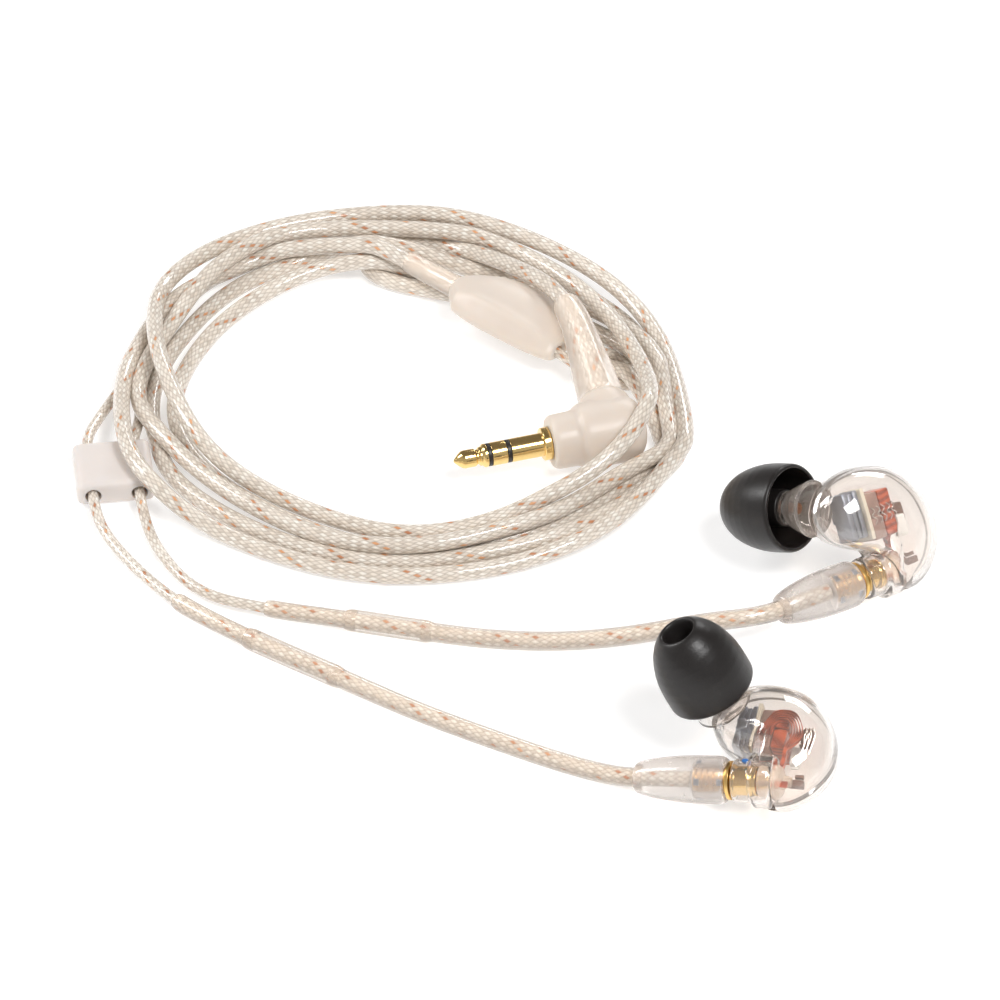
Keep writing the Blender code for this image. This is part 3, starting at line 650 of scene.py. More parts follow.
def rubber_finish():
    """Black foam rubber with a fine skin."""
    f = Finish("black_rubber", (0.012, 0.010, 0.010), 0.42, Specular_IOR_Level=0.42)
    f.skin(f.noise(5200.0, 4.0), (0.008, 0.007, 0.007), (0.020, 0.017, 0.016), 0.00004, 0.6)
    f.uneven(f.noise(700.0), 0.26, 0.42)
    return f.material


def metal_finish(name, colour, roughness):
    """Metal with faint marks."""
    f = Finish(name, colour, roughness, Metallic=1.0)
    f.skin(f.noise(1500.0, 4.0), tuple(c * 0.8 for c in colour), colour, 0.000004)
    f.uneven(f.noise(3000.0), roughness * 0.7, roughness + 0.12)
    return f.material


def plain_finish(name, colour, roughness, second, **inputs):
    """Opaque plastic or board, mottled between two colours."""
    f = Finish(name, colour, roughness, **inputs)
    f.skin(f.noise(900.0, 5.0), second, colour, 0.00001)
    f.uneven(f.noise(1800.0), roughness * 0.8, roughness * 1.2)
    return f.material


def flex_finish():
    """Orange-red flexible circuit with fine conductors along it."""
    f = Finish("copper_red", (0.55, 0.09, 0.025), 0.28, Coat_Weight=0.6, Coat_Roughness=0.15)
    lines = f.over_piece("TexWave", 420.0, wave_type="BANDS", bands_direction="Z")
    lines.inputs["Distortion"].default_value = 0.6
    f.skin(lines.outputs["Fac"], (0.22, 0.030, 0.006), (0.50, 0.085, 0.020), 0.00003, 0.5)
    return f.material


def gauze_finish():
    """Brown woven damper gauze."""
    f = Finish("damper_brown", (0.20, 0.09, 0.05), 0.6)
    weave = f.over_piece("TexVoronoi", 3600.0, feature="F1").outputs["Distance"]
    f.skin(weave, (0.28, 0.13, 0.07), (0.05, 0.02, 0.01), 0.00003, 0.8)
    return f.material


def make_finishes():
    frosted, milky, metal, plain = frosted_finish, milky_finish, metal_finish, plain_finish
    relief_milk = (0.72, 0.645, 0.575)
    return {
        "cable_braid": braid_finish("cable_braid", 12, 0.0186),
        "lead_braid": braid_finish("lead_braid", 8, 0.0108),
        "clear": frosted("clear_shell", (0.96, 0.925, 0.895), SHELL_MILK, 0.05, 0.03, 1.49),
        "cone": frosted("clear_cone", (0.97, 0.95, 0.93), SHELL_MILK, 0.1, 0.06),
        "clear_tube": frosted("clear_tube", (0.93, 0.89, 0.85), (0.60, 0.525, 0.455), 0.2, 0.2),
        "frosted": frosted("frosted", (0.90, 0.867, 0.84), (0.58, 0.53, 0.495), 0.34, 0.25),
        "peach": frosted("peach", (0.98, 0.93, 0.875), (0.86, 0.74, 0.62), 0.3, 0.15),
        "relief": frosted("relief", (0.97, 0.94, 0.91), relief_milk, 0.34, 0.14, coat=0.2),
        "milky": milky("milky", (0.74, 0.658, 0.583)),
        "milky_white": milky("milky_white", (0.765, 0.712, 0.68), 0.42, 0.001),
        "rubber": rubber_finish(),
        "gold": metal("gold", (1.0, 0.72, 0.30), 0.12),
        "gold_satin": metal("gold_satin", (1.0, 0.66, 0.24), 0.3),
        "steel": metal("driver_steel", (0.42, 0.47, 0.56), 0.34),
        "wire": metal("bare_wire", (0.86, 0.84, 0.80), 0.2),
        "flex": flex_finish(),
        "can": plain("driver_can", (0.42, 0.27, 0.22), 0.35, (0.28, 0.17, 0.14), Metallic=0.4),
        "board": plain("board", (0.66, 0.62, 0.52), 0.5, (0.55, 0.51, 0.42)),
        "chip": plain("chip", (0.17, 0.08, 0.05), 0.5, (0.10, 0.05, 0.03)),
        "white": plain("white_plastic", (0.80, 0.80, 0.78), 0.4, (0.70, 0.70, 0.69)),
        "insulator": plain("insulator", (0.03, 0.022, 0.02), 0.4, (0.015, 0.012, 0.01)),
        "blue": plain("blue_mark", (0.02, 0.16, 0.50), 0.45, (0.015, 0.12, 0.40)),
        "red": plain("red_mark", (0.55, 0.03, 0.03), 0.45, (0.42, 0.02, 0.02)),
        "damper": gauze_finish(),
    }


# Shapes

SHARP_ANGLE = 38.0
MELT_VOXEL = 0.16 * MM
MELT_SMOOTHING = 14


def piece(name, bm, finish, body, slot, replaced, matrix, sharp=SHARP_ANGLE):
    """The bmesh as a finished piece that rides on a body. The matrix places it in the frame."""
    bmesh.ops.transform(bm, matrix=matrix, verts=bm.verts)
    bmesh.ops.recalc_face_normals(bm, faces=bm.faces)
    return finished(meshed(name, bm, sharp), finish, body, slot, replaced)


def filleted(points, radius, closed=False, steps=4):
    """The outline with its corners rounded; the ends of an open one stay."""
    points = [np.array(p, float) for p in points]
    count = len(points)
    made = []
    for i, corner in enumerate(points):
        if not closed and i in (0, count - 1):
            made.append(corner)
            continue
        before = points[i - 1] - corner
        after = points[(i + 1) % count] - corner
        cut_before = min(radius, np.linalg.norm(before) * 0.45)
        cut_after = min(radius, np.linalg.norm(after) * 0.45)
        start = corner + before / np.linalg.norm(before) * cut_before
        end = corner + after / np.linalg.norm(after) * cut_after
        for k in range(steps + 1):
            t = k / steps
            made.append((1 - t) ** 2 * start + 2 * t * (1 - t) * corner + t**2 * end)
    return [tuple(p) for p in made]


def joined_rings(rings, closed=False):
    """A skin over rings of metre points; a ring of one point is a pole."""
    bm = bmesh.new()
    made = [[bm.verts.new(p) for p in ring] for ring in rings]
    pairs = list(zip(made, made[1:]))
    if closed:
        pairs.append((made[-1], made[0]))
    for first, second in pairs:
        count = max(len(first), len(second))
        for i in range(count):
            j = (i + 1) % count
            corners = [first[i % len(first)], first[j % len(first)]]
            corners += [second[j % len(second)], second[i % len(second)]]
            bm.faces.new(dict.fromkeys(corners))
    if not closed:
        for ring in (made[0], made[-1]):
            if len(ring) > 1:
                bm.faces.new(ring)
    return bm


def turned(profile, radius=0.15, segments=64):
    """A solid turned about X from (x, radius) points in millimetres, its corners rounded."""
    closed = profile[0][1] > 0
    rings = []
    for x, r in filleted(profile, radius, closed):
        count = segments if r > 1e-6 else 1
        angles = [2 * pi * i / segments for i in range(count)]
        rings.append([Vector((x, r * cos(a), r * sin(a))) * MM for a in angles])
    return joined_rings(rings, closed)


def block(size, centre, bevel=0.25, segments=3):
    """A box with rounded edges, in millimetres."""
    bm = bmesh.new()
    bmesh.ops.create_cube(bm, size=1.0)
    bmesh.ops.scale(bm, vec=Vector(size) * MM, verts=bm.verts)
    bmesh.ops.translate(bm, vec=Vector(centre) * MM, verts=bm.verts)
    bmesh.ops.bevel(
        bm, geom=bm.edges[:], offset=bevel * MM, segments=segments, affect="EDGES", profile=0.5
    )
    return bm


def together(*parts):
    """Several bmeshes as one."""
    whole = bmesh.new()
    for part in parts:
        mesh = mesh_of("part", part)
        whole.from_mesh(mesh)
        bpy.data.meshes.remove(mesh)
    return whole


def wires(routes, radius):
    """Round wires along smooth curves through millimetre points."""
    return together(*(tube_bmesh(curve_through(route, 0.15), radius, 8) for route in routes))


def cutter(profile, segments, matrix, radius=0.01):
    """A turned solid that is only there to be cut out of a piece."""
    bm = turned(profile, radius, segments)
    bmesh.ops.transform(bm, matrix=matrix, verts=bm.verts)
    bmesh.ops.recalc_face_normals(bm, faces=bm.faces)
    return linked("cutter", mesh_of("cutter", bm))


def cut_away(obj, *cutters):
    """Cuts the cutters' shapes out of the piece."""
    for shape in cutters:
        modifier = obj.modifiers.new("cut", "BOOLEAN")
        modifier.operation = "DIFFERENCE"
        modifier.solver = "EXACT"
        modifier.object = shape
    bake_modifiers(obj)
    obj.data.set_sharp_from_angle(angle=radians(SHARP_ANGLE))
    for shape in cutters:
        bpy.data.objects.remove(shape)


def melt(obj):
    """Runs a moulding's overlapping parts into one skin with soft inner corners."""
    skin = obj.modifiers.new("skin", "REMESH")
    skin.mode = "VOXEL"
    skin.voxel_size = MELT_VOXEL
    soft = obj.modifiers.new("soft", "SMOOTH")
    soft.factor = 0.5
    soft.iterations = MELT_SMOOTHING
    bake_modifiers(obj)
    obj.data.shade_smooth()


def bake_modifiers(obj):
    bpy.context.view_layer.update()
    graph = bpy.context.evaluated_depsgraph_get()
    mesh = bpy.data.meshes.new_from_object(obj.evaluated_get(graph))
    obj.modifiers.clear()
    old = obj.data
    obj.data = mesh
    bpy.data.meshes.remove(old)


# Earphones: each is laid out along its connector's axis, X, with the ear side up.

SHELL_OUTLINE = [
    (13.9, 3.7), (12.9, 9.6), (9.1, 14.1), (3.6, 15.8), (-1.5, 15.0), (-4.9, 11.4),
    (-3.9, 7.4), (-0.6, 4.9), (2.6, 3.2), (4.0, 0.0), (4.8, -2.9), (8.2, -3.3), (11.8, -0.8),
]
SHELL_SEAM = -1.0
SHELL_HEIGHT = {1: 6.3, -1: 5.6}
SHELL_FULLNESS = 2.3
SHELL_WALL = 0.9
SHELL_RADIUS = 8.6
SHELL_AROUND = 120
SHELL_LEVELS = 16
SEAM_GAP = 0.12
NOZZLE_AT = (-4.3, 12.5, 4.3)
NOZZLE_AXIS = (-0.272, 0.174, 0.946)
# How far round the collar the coloured mark sits, in degrees.
MARK_TURN = {"left": -32.0, "right": 0.0}
# What the boxes inside the shell make up: name, finish, slot, nodes that it stands for, and the
# size, middle and bevel of each box.
DRIVER_PARTS = [
    ("tweeter", "steel", "driver_steel", ["tweeter_driver"], [
        ((0.95, 6.6, 3.8), (-0.7, 9.5, -1.9), 0.22), ((0.7, 6.1, 3.5), (0.2, 9.5, -1.9), 0.15),
        ((0.8, 6.6, 3.8), (1.05, 9.5, -1.9), 0.2), ((1.9, 1.6, 1.2), (-0.1, 9.5, 0.2), 0.3),
    ]),
    ("plate", "board", "board", ["driver_plate"], [
        ((0.6, 7.2, 5.0), (1.95, 9.2, -1.8), 0.12), ((0.3, 5.6, 0.35), (1.95, 9.2, 0.85), 0.05),
    ]),
    ("woofer_can", "can", "damper_brown", ["woofer_driver"], [
        ((2.0, 3.0, 4.6), (3.45, 10.2, -1.6), 0.25), ((2.0, 3.0, 4.6), (3.45, 6.8, -1.6), 0.25),
        ((1.8, 0.9, 4.0), (3.45, 8.5, -1.6), 0.1), ((1.2, 5.2, 0.3), (3.45, 8.5, 0.8), 0.1),
    ]),
    ("woofer_flex", "flex", "copper_red", [], [
        ((2.0, 3.0, 4.6), (5.6, 10.2, -1.5), 0.25), ((2.0, 3.0, 4.6), (5.6, 6.8, -1.5), 0.25),
        ((0.5, 6.0, 3.8), (5.4, 8.5, -1.6), 0.1), ((1.0, 2.0, 0.5), (5.9, 1.7, 1.4), 0.12),
        ((1.9, 0.9, 0.4), (7.4, -1.0, 0.9), 0.12),
    ]),
    ("crossover", "chip", "damper_brown", ["crossover_block"], [
        ((2.1, 1.0, 0.9), (9.0, 0.2, -0.8), 0.12), ((0.6, 0.6, 0.5), (5.0, -1.3, 1.4), 0.08),
        ((1.2, 0.5, 0.5), (9.4, 1.1, -0.4), 0.06), ((1.7, 2.8, 1.4), (9.3, 7.4, -0.2), 0.3),
    ]),
    ("flex_plug", "white", "milky_white", [], [
        ((1.3, 2.8, 1.5), (7.5, 6.0, -2.9), 0.15), ((0.3, 2.1, 0.5), (8.25, 6.0, -2.9), 0.06),
        ((1.1, 0.35, 0.3), (7.5, 4.45, -3.2), 0.05),
    ]),
]
FLEX_LAYERS = 5


class Earphone:
    """Where one earphone lies: its frame, its nozzle's frame and which hand it is."""

    def __init__(self, side):
        self.side = side
        self.hand = HAND[side]
        self.frame = heading_matrix(*EARPHONES[side])
        turn = Vector(self.at(*NOZZLE_AXIS)).to_track_quat("X", "Z").to_matrix().to_4x4()
        place = Matrix.Translation(Vector(self.at(*NOZZLE_AT)) * MM)
        self.nozzle = self.frame @ (place @ turn)

    def at(self, x, y, z):
        """A point of the left earphone's layout, mirrored for the right one."""
        return (x, y * self.hand, z)

    def add(self, name, bm, finish, slot, stands_for=(), body="earphone", matrix=None):
        """A piece of this earphone; the cable is the only body that both sides share."""
        return piece(
            f"{self.side}_{name}", bm, finish, body if body == "cable" else f"{self.side}_{body}",
            slot, [f"{self.side}_{node}" for node in stands_for],
            self.frame if matrix is None else matrix,
        )


def shell_ring(hand, share, height):
    """The shell's outline at one height, drawn in about its middle by a share."""
    points = np.array([(x, y * hand, 0) for x, y in SHELL_OUTLINE], float)
    loop = curve_through([*points[-2:], *points, *points[:2]], 0.1)
    from_start = np.linalg.norm(loop - points[0], axis=1)
    half = len(loop) // 2
    start = np.argmin(from_start[:half])
    end = half + np.argmin(from_start[half:])
    loop = spaced(loop[start : end + 1], 1.0)
    along = np.linspace(0, len(loop) - 1, SHELL_AROUND, endpoint=False)
    ring = np.stack([np.interp(along, np.arange(len(loop)), loop[:, k]) for k in range(2)], 1)
    middle = ring.mean(0)
    ring = middle + (ring - middle) * share
    return [Vector((x, y, height)) * MM for x, y in ring]


def shell_half(up, hand):
    """One half of the shell: a cup with a real wall, open at the seam."""
    rings = []
    for wall, order in ((0.0, -1), (SHELL_WALL, 1)):
        size = 1 - wall / SHELL_RADIUS
        levels = []
        for k in range(SHELL_LEVELS):
            angle = radians(87) * k / (SHELL_LEVELS - 1)
            share = size * cos(angle) ** (2 / SHELL_FULLNESS)
            rise = (SHELL_HEIGHT[up] - wall) * sin(angle) ** (2 / SHELL_FULLNESS)
            levels.append(shell_ring(hand, share, SHELL_SEAM + up * (rise + SEAM_GAP / 2)))
        rings += levels[::order]
    return joined_rings(rings)


def add_shell(ear):
    collar = [(-8.0, 0), (-8.0, 4.0), (6.55, 4.0), (6.55, 0)]
    cone = [(-3.8, 0), (-3.8, 4.4), (0.5, 2.9), (6.0, 2.9), (6.0, 0)]
    for part, up in (("outer_shell", -1), ("inner_shell", 1)):
        half = ear.add(part + "_clear", shell_half(up, ear.hand), "clear", "clear_shell", [part])
        holes = [cutter(collar, 96, ear.frame, 0.1)]
        if up == 1:
            holes.append(cutter(cone, 96, ear.nozzle, 0.1))
        cut_away(half, *holes)


def add_nozzle(ear):
    stem = [
        (-3.6, 3.5), (-3.6, 4.2), (-1.6, 3.45), (0.4, 2.6), (0.9, 2.5), (0.9, 1.6),
        (3.0, 1.6), (3.2, 1.72), (3.6, 1.72), (3.8, 1.6), (8.0, 1.6), (8.4, 1.3), (8.4, 1.0),
        (0.7, 1.0), (0.1, 1.75), (-1.7, 2.75),
    ]
    ear.add(
        "nozzle_clear", turned(stem, 0.2, 96), "cone", "clear_shell", ["nozzle"], matrix=ear.nozzle
    )
    gauze = [(-0.9, 0), (-0.75, 0.5), (-0.9, 0.85), (1.3, 0.85), (1.15, 0.5), (1.3, 0)]
    ear.add(
        "damper_gauze", turned(gauze, 0.1, 40), "damper", "damper_brown", ["acoustic_damper"],
        matrix=ear.nozzle,
    )


def add_sleeve(ear):
    """A soft dome on its stem, open behind, with a rolled mouth."""
    outer = [
        (0.0, 5.8), (0.05, 6.2), (0.45, 6.42), (2.0, 6.44), (3.4, 6.42), (4.8, 6.3), (6.2, 6.02),
        (7.6, 5.6), (8.8, 5.08), (9.9, 4.4), (10.7, 3.75), (11.25, 3.15), (11.5, 2.75),
    ]
    mouth = [(11.42, 2.45), (11.0, 2.28), (10.0, 2.05), (9.0, 1.9), (1.3, 1.9)]
    stem = [(1.3, 2.7), (8.2, 2.8)]
    lining = [(7.6, 4.2), (6.4, 4.9), (5.0, 5.35), (3.0, 5.62), (0.4, 5.7)]
    ear.add(
        "sleeve_foam", turned([*outer, *mouth, *stem, *lining], 0.25, 96), "rubber",
        "black_rubber", ["sleeve"], "sleeve", ear.nozzle,
    )


def ribbon(path, half_width, half_thickness):
    """A flat strip along millimetre points, its width along Z."""
    line = curve_through(path, 0.3)
    way = np.gradient(line, axis=0)
    way /= np.linalg.norm(way, axis=1)[:, None]
    rings = []
    for point, along in zip(line, way):
        across = np.array([-along[1], along[0], 0.0])
        across *= half_thickness / np.linalg.norm(across)
        up = np.array([0, 0, half_width])
        corners = (point - across - up, point + across - up, point + across + up, point - across + up)
        rings.append([Vector(p) * MM for p in corners])
    return joined_rings(rings)


def flex_arc(ear, radius):
    """One layer of the flex: an arch over the woofer that runs down to the crossover."""
    drop = (radius - 1.5) * 0.3
    path = [
        (6.0 - radius, 7.1, 1.2), (6.0 - 0.87 * radius, 8.4, 1.3),
        (6.0 - 0.5 * radius, 7.9 + 0.87 * radius, 1.35), (6.0, 7.9 + radius, 1.35),
        (6.0 + 0.6 * radius, 7.9 + 0.8 * radius, 1.3), (6.0 + radius, 7.9, 1.2),
        (6.3 + 0.8 * radius, 6.3, 1.1), (6.9 + drop, 4.7, 0.9), (6.8 + drop, 3.0, 0.5),
        (6.4 + drop, 1.4, 0.1),
    ]
    return ribbon([ear.at(*point) for point in path], 0.42, 0.05)


def add_drivers(ear):
    """Both armature drivers with their plates, flex, wires and crossover parts."""
    for name, finish, slot, stands_for, boxes in DRIVER_PARTS:
        blocks = [block(size, ear.at(*centre), bevel) for size, centre, bevel in boxes]
        ear.add(name, together(*blocks), finish, slot, stands_for)
    arches = together(*(flex_arc(ear, 1.5 + 0.36 * k) for k in range(FLEX_LAYERS)))
    ear.add("flex_arch", arches, "flex", "copper_red", ["flex_circuit"])
    ear.add("hook_up_wires", wires(hook_up_routes(ear.at), 0.075), "wire", "driver_steel")


def hook_up_routes(at):
    """The thin wires: short squiggles over the drivers, loops at the side, two long leads."""
    routes = []
    for k in range(5):
        x = 2.7 + 0.85 * k
        low = -4.15 - 0.12 * (k % 2)
        routes.append([
            at(x, 9.8, low), at(x + 0.35, 9.2, low - 0.25), at(x - 0.1, 8.6, low - 0.05),
            at(x + 0.4, 8.0, low - 0.25), at(x + 0.1, 7.3, low),
        ])
    for k in range(3):
        x = 8.7 + 0.55 * k
        routes.append([
            at(x, 6.0, 0.4), at(x + 0.1, 7.3, 1.0), at(x + 0.5, 8.3, 1.1), at(x + 0.95, 7.5, 1.0),
            at(x + 0.8, 6.4, 0.7), at(x + 0.4, 4.6, 0.2),
        ])
    routes.append([at(0.4, 6.4, 0.0), at(1.6, 4.4, 0.6), at(4.2, 2.6, 0.3), at(6.7, 1.2, 0.1)])
    routes.append([at(0.0, 6.4, -1.4), at(1.2, 4.0, -0.6), at(3.9, 2.0, -0.9), at(6.7, 0.4, -0.4)])
    return routes


def add_socket(ear):
    collar = [
        (0.4, 2.75), (0.4, 2.9), (0.7, 3.1), (2.9, 3.1), (3.5, 3.8), (5.9, 3.8), (6.3, 3.4),
        (6.3, 2.75),
    ]
    ear.add("socket_collar_clear", turned(collar, 0.25), "clear", "clear_shell", ["socket_collar"])
    cup = [
        (3.9, 1.92), (3.9, 2.05), (3.4, 2.1), (3.2, 2.2), (2.9, 2.2), (2.7, 2.06), (0.8, 2.06),
        (0.6, 2.3), (0.45, 2.3), (0.45, 1.92),
    ]
    ear.add("socket_cup", turned(cup, 0.1), "gold", "gold", ["connector_socket"])
    housing = [
        (4.0, 0), (4.0, 1.9), (4.3, 2.3), (6.7, 2.35), (7.3, 1.9), (7.6, 0.9), (8.6, 0.7), (8.6, 0),
    ]
    ear.add("socket_housing", turned(housing, 0.25), "peach", "milky")
    mark = turned([(-0.5, 0), (-0.5, 0.22), (0.0, 0.5), (0.2, 0.42), (0.26, 0)], 0.06, 24)
    spot = ear.frame @ Matrix.Rotation(radians(MARK_TURN[ear.side]), 4, "X")
    spot = spot @ Matrix.Translation(Vector((2.1, 0, 3.02)) * MM) @ Matrix.Rotation(-pi / 2, 4, "Y")
    colour = "blue" if ear.side == "left" else "red"
    ear.add("side_mark", mark, colour, "insulator", matrix=spot)


def add_connector(ear):
    """The lead's plug in its boot, and the split ring that clips it into the socket."""
    ring = []
    for k in range(41):
        angle = radians(25 + 310 * k / 40)
        corners = ((1.35, 1.3), (1.85, 1.3), (1.85, 1.8), (1.35, 1.8))
        ring.append([Vector((x, r * cos(angle), r * sin(angle))) * MM for x, r in corners])
    ear.add("snap_ring_gold", joined_rings(ring), "gold", "gold", ["snap_ring"], "snap")
    ridges = []
    for k in range(5):
        x = -5.2 + 0.8 * k
        ridges += [(x, 1.86), (x + 0.5, 1.86), (x + 0.55, 1.68), (x + 0.72, 1.68)]
    barrel = [
        (-5.2, 0.9), *ridges, (-0.75, 1.86), (-0.45, 1.86), (-0.45, 2.75), (0.05, 2.75), (0.05, 1.45),
        (1.2, 1.45), (1.2, 1.1), (2.0, 1.1), (2.0, 1.45), (2.7, 1.45), (3.0, 1.2), (3.0, 0.9),
    ]
    ear.add("plug_barrel", turned(barrel, 0.06), "gold_satin", "gold", ["plug_shell"], "cable")
    pads = []
    for k in range(8):
        pad = block((0.75, 0.8, 0.3), (-4.6 if k < 4 else -1.4, 0, 1.8), 0.06)
        turn = Matrix.Rotation(radians(45 + 90 * (k % 4)), 4, "X")
        bmesh.ops.transform(pad, matrix=turn, verts=pad.verts)
        pads.append(pad)
    ear.add("crimp_pads", together(*pads), "steel", "driver_steel", body="cable")
    boot = [
        (-14.15, 0), (-14.15, 1.75), (-13.75, 2.2), (-12.6, 2.55), (-11.2, 2.85), (-9.4, 3.1),
        (-7.4, 3.3), (-5.4, 3.42), (-3.4, 3.45), (-1.6, 3.4), (-0.95, 3.2), (-0.75, 2.85),
        (-0.75, 1.92), (-5.5, 1.92), (-5.5, 0),
    ]
    ear.add("boot", turned(boot, 0.5), "frosted", "milky", ["connector_boot"], "cable")


# Slider, Y split and plug

SLIDER_SIZE = (10.3, 11.4, 4.0)
# The split's sections: how far along, width, height, how far its middle is lifted.
Y_SHAPE = [
    (0.0, 3.7, 3.1, 0.0), (0.25, 4.4, 3.7, 0.0), (1.0, 5.8, 4.15, 0.0), (2.2, 8.2, 4.65, 0.0),
    (5.0, 10.6, 5.1, 0.1), (8.0, 11.6, 5.15, 0.1), (11.0, 11.8, 5.0, 0.08), (15.5, 11.0, 4.4, -0.2),
    (18.4, 9.6, 3.75, -0.4), (19.8, 8.0, 3.3, -0.6), (20.4, 7.2, 2.8, -0.68), (20.6, 6.4, 2.3, -0.7),
]
Y_AROUND = 96
# The ridge along the split's top: where across it, and how wide.
RIDGE_AT = -2.3
RIDGE_WIDTH = 0.9
JACK_RADIUS = 1.75
# Which way the strain relief leaves the plug, in degrees.
RELIEF_HEADING = 103.4
RELIEF_CLIMB = 10.6


def add_slider():
    frame = heading_matrix(SLIDER_AT, SLIDER_HEADING)
    slider = piece(
        "slider_block", block(SLIDER_SIZE, (0, 0, 0), 1.1, 5), "milky_white", "slider",
        "milky_white", ["slider"], frame, 50.0,
    )
    hole = [(-9.8, 0), (-9.8, 1.2), (9.8, 1.2), (9.8, 0)]
    places = [frame @ Matrix.Translation((0, y * MM, 0)) for y in SLIDER_HOLES.values()]
    cut_away(slider, *(cutter(hole, 40, place) for place in places))


def y_section(x):
    """A soft lozenge whose top has one rounded ridge, a little to the front of its middle."""
    table = np.array(Y_SHAPE)
    width, height, lift = (np.interp(x, table[:, 0], table[:, k]) for k in (1, 2, 3))
    aside = max(0.0, width - 8.0) * 0.25
    ridge = np.interp(x, [1.5, 5, 17, 20], [0, 0.4, 0.34, 0])
    sharp = np.interp(x, [0, 4, 16, 20.6], [1.0, 1.35, 1.35, 1.0])
    ring = []
    for k in range(Y_AROUND):
        angle = 2 * pi * k / Y_AROUND
        across = abs(cos(angle)) ** 0.85 * (1 if cos(angle) >= 0 else -1)
        rise = abs(sin(angle)) ** (sharp if sin(angle) > 0 else 0.8)
        z = height / 2 * rise * (1 if sin(angle) >= 0 else -1)
        y = width / 2 * across + aside
        if z > 0:
            z += ridge * np.exp(-(((y - RIDGE_AT) / RIDGE_WIDTH) ** 2))
        ring.append(Vector((x, y, z + lift)) * MM)
    return ring


def add_y_split():
    """The moulded split with the two bores that the leads leave through."""
    steps = [np.linspace(0, 2.2, 12), np.linspace(2.8, 18.4, 30), np.linspace(18.8, 20.6, 12)]
    rings = [y_section(x) for x in np.concatenate(steps)]
    frame = heading_matrix(Y_START, Y_HEADING)
    split = piece(
        "y_split_moulding", joined_rings(rings), "milky", "cable", "milky", ["y_split_body"],
        frame, 60.0,
    )
    bore = [(16.5, 0), (16.5, 0.95), (24.0, 0.95), (24.0, 0)]
    places = [frame @ Matrix.Translation(Vector((0, y, -0.75)) * MM) for y in Y_HOLES.values()]
    cut_away(split, *(cutter(bore, 32, place) for place in places))


def add_jack(frame):
    """The jack's core with its three contacts."""
    r = JACK_RADIUS
    core = [
        (-5.0, 0), (-5.0, 0.8), (5.85, 0.8), (5.85, r - 0.04), (6.45, r - 0.04), (6.45, 0.8),
        (8.8, 0.8), (8.8, r - 0.04), (9.35, r - 0.04), (9.35, 0.8), (12.0, 0.8), (12.0, 0),
    ]
    sleeve = [
        (-4.5, 1.0), (-4.5, r), (-0.2, r), (-0.2, 2.45), (0.85, 2.45), (1.0, 2.25), (1.0, r),
        (5.8, r), (5.8, 1.0),
    ]
    ring = [(6.5, 1.0), (6.5, r), (8.75, r), (8.75, 1.0)]
    tip = [
        (14.4, 0), (14.3, 0.25), (13.7, 0.85), (13.2, 1.25), (12.8, 1.36), (11.2, 1.34),
        (10.95, 1.12), (10.7, 1.12), (10.5, 1.4), (10.2, 1.4), (10.0, 1.62), (9.8, r), (9.4, r),
        (9.4, 1.0), (12.2, 1.0), (12.2, 0),
    ]
    made = []
    for name, shape in (("core", core), ("sleeve", sleeve), ("ring", ring), ("tip", tip)):
        finish = "insulator" if name == "core" else "gold"
        made.append(piece(
            f"jack_{name}_turned", turned(shape, 0.06), finish, "cable", finish,
            [f"jack_{name}"], frame,
        ))
    return made


def add_plug():
    """The right-angle plug: its moulding with the neck that the strain relief leaves, and its jack."""
    frame = heading_matrix(PLUG_AT, PLUG_HEADING)
    jack = add_jack(frame)
    body = [
        (-14.5, 0), (-14.5, 2.4), (-14.2, 3.3), (-13.6, 4.1), (-12.8, 4.65), (-11.6, 4.88),
        (-9.5, 4.92), (-5.6, 4.9), (-4.9, 4.75), (-4.5, 4.3), (-4.0, 4.1), (-1.0, 4.05),
        (-0.45, 3.85), (-0.25, 3.4), (-0.25, 2.05), (-5.3, 2.05), (-5.3, 0),
    ]
    neck = [(0, 0), (0, 4.3), (3.4, 4.3), (4.9, 4.1), (5.6, 3.7), (5.9, 3.2), (5.9, 0)]
    neck = turned(neck, 0.5, 80)
    place = heading_matrix(in_frame(frame, [(-9.6, 0, 0)])[0], RELIEF_HEADING, RELIEF_CLIMB)
    bmesh.ops.transform(neck, matrix=frame.inverted() @ place, verts=neck.verts)
    moulding = piece(
        "plug_moulding", together(turned(body, 0.35, 80), neck), "milky", "cable", "milky",
        ["plug_body"], frame,
    )
    melt(moulding)
    return [moulding, *jack]


# Floor and light

FLOOR_SIZE = 3.0
FLOOR_GREY = 0.64
FLOOR_GLOW = 0.48
ROOM_STRENGTH = 0.48
ROOM_PALE = (1.0, 0.985, 0.97, 1.0)
ROOM_DARK = (0.40, 0.37, 0.35, 1.0)
ROOM_DARK_SIDE = (0.0, 0.5, 0.87)
LAMP_AIM = (-0.04, 0.04, 0.0)
# Soft boxes: name, place and size in metres, power in watts.
LAMPS = [
    ("key_light", (0.30, -0.38, 0.86), (0.34, 0.26), 6.0),
    ("left_window", (-0.75, 0.22, 0.60), (0.22, 0.55), 4.6),
    ("back_light", (0.25, 0.85, 0.5), (0.5, 0.12), 2.2),
]


def add_floor():
    """A pale floor that glows a little, so that it stays white without burning the cords out."""
    bm = bmesh.new()
    bmesh.ops.create_grid(bm, x_segments=1, y_segments=1, size=FLOOR_SIZE)
    floor = linked("floor", mesh_of("floor", bm))
    f = Finish(
        "floor", (FLOOR_GREY,) * 3, 0.7, Emission_Color=(1, 1, 1, 1), Emission_Strength=FLOOR_GLOW
    )
    floor.data.materials.append(f.material)


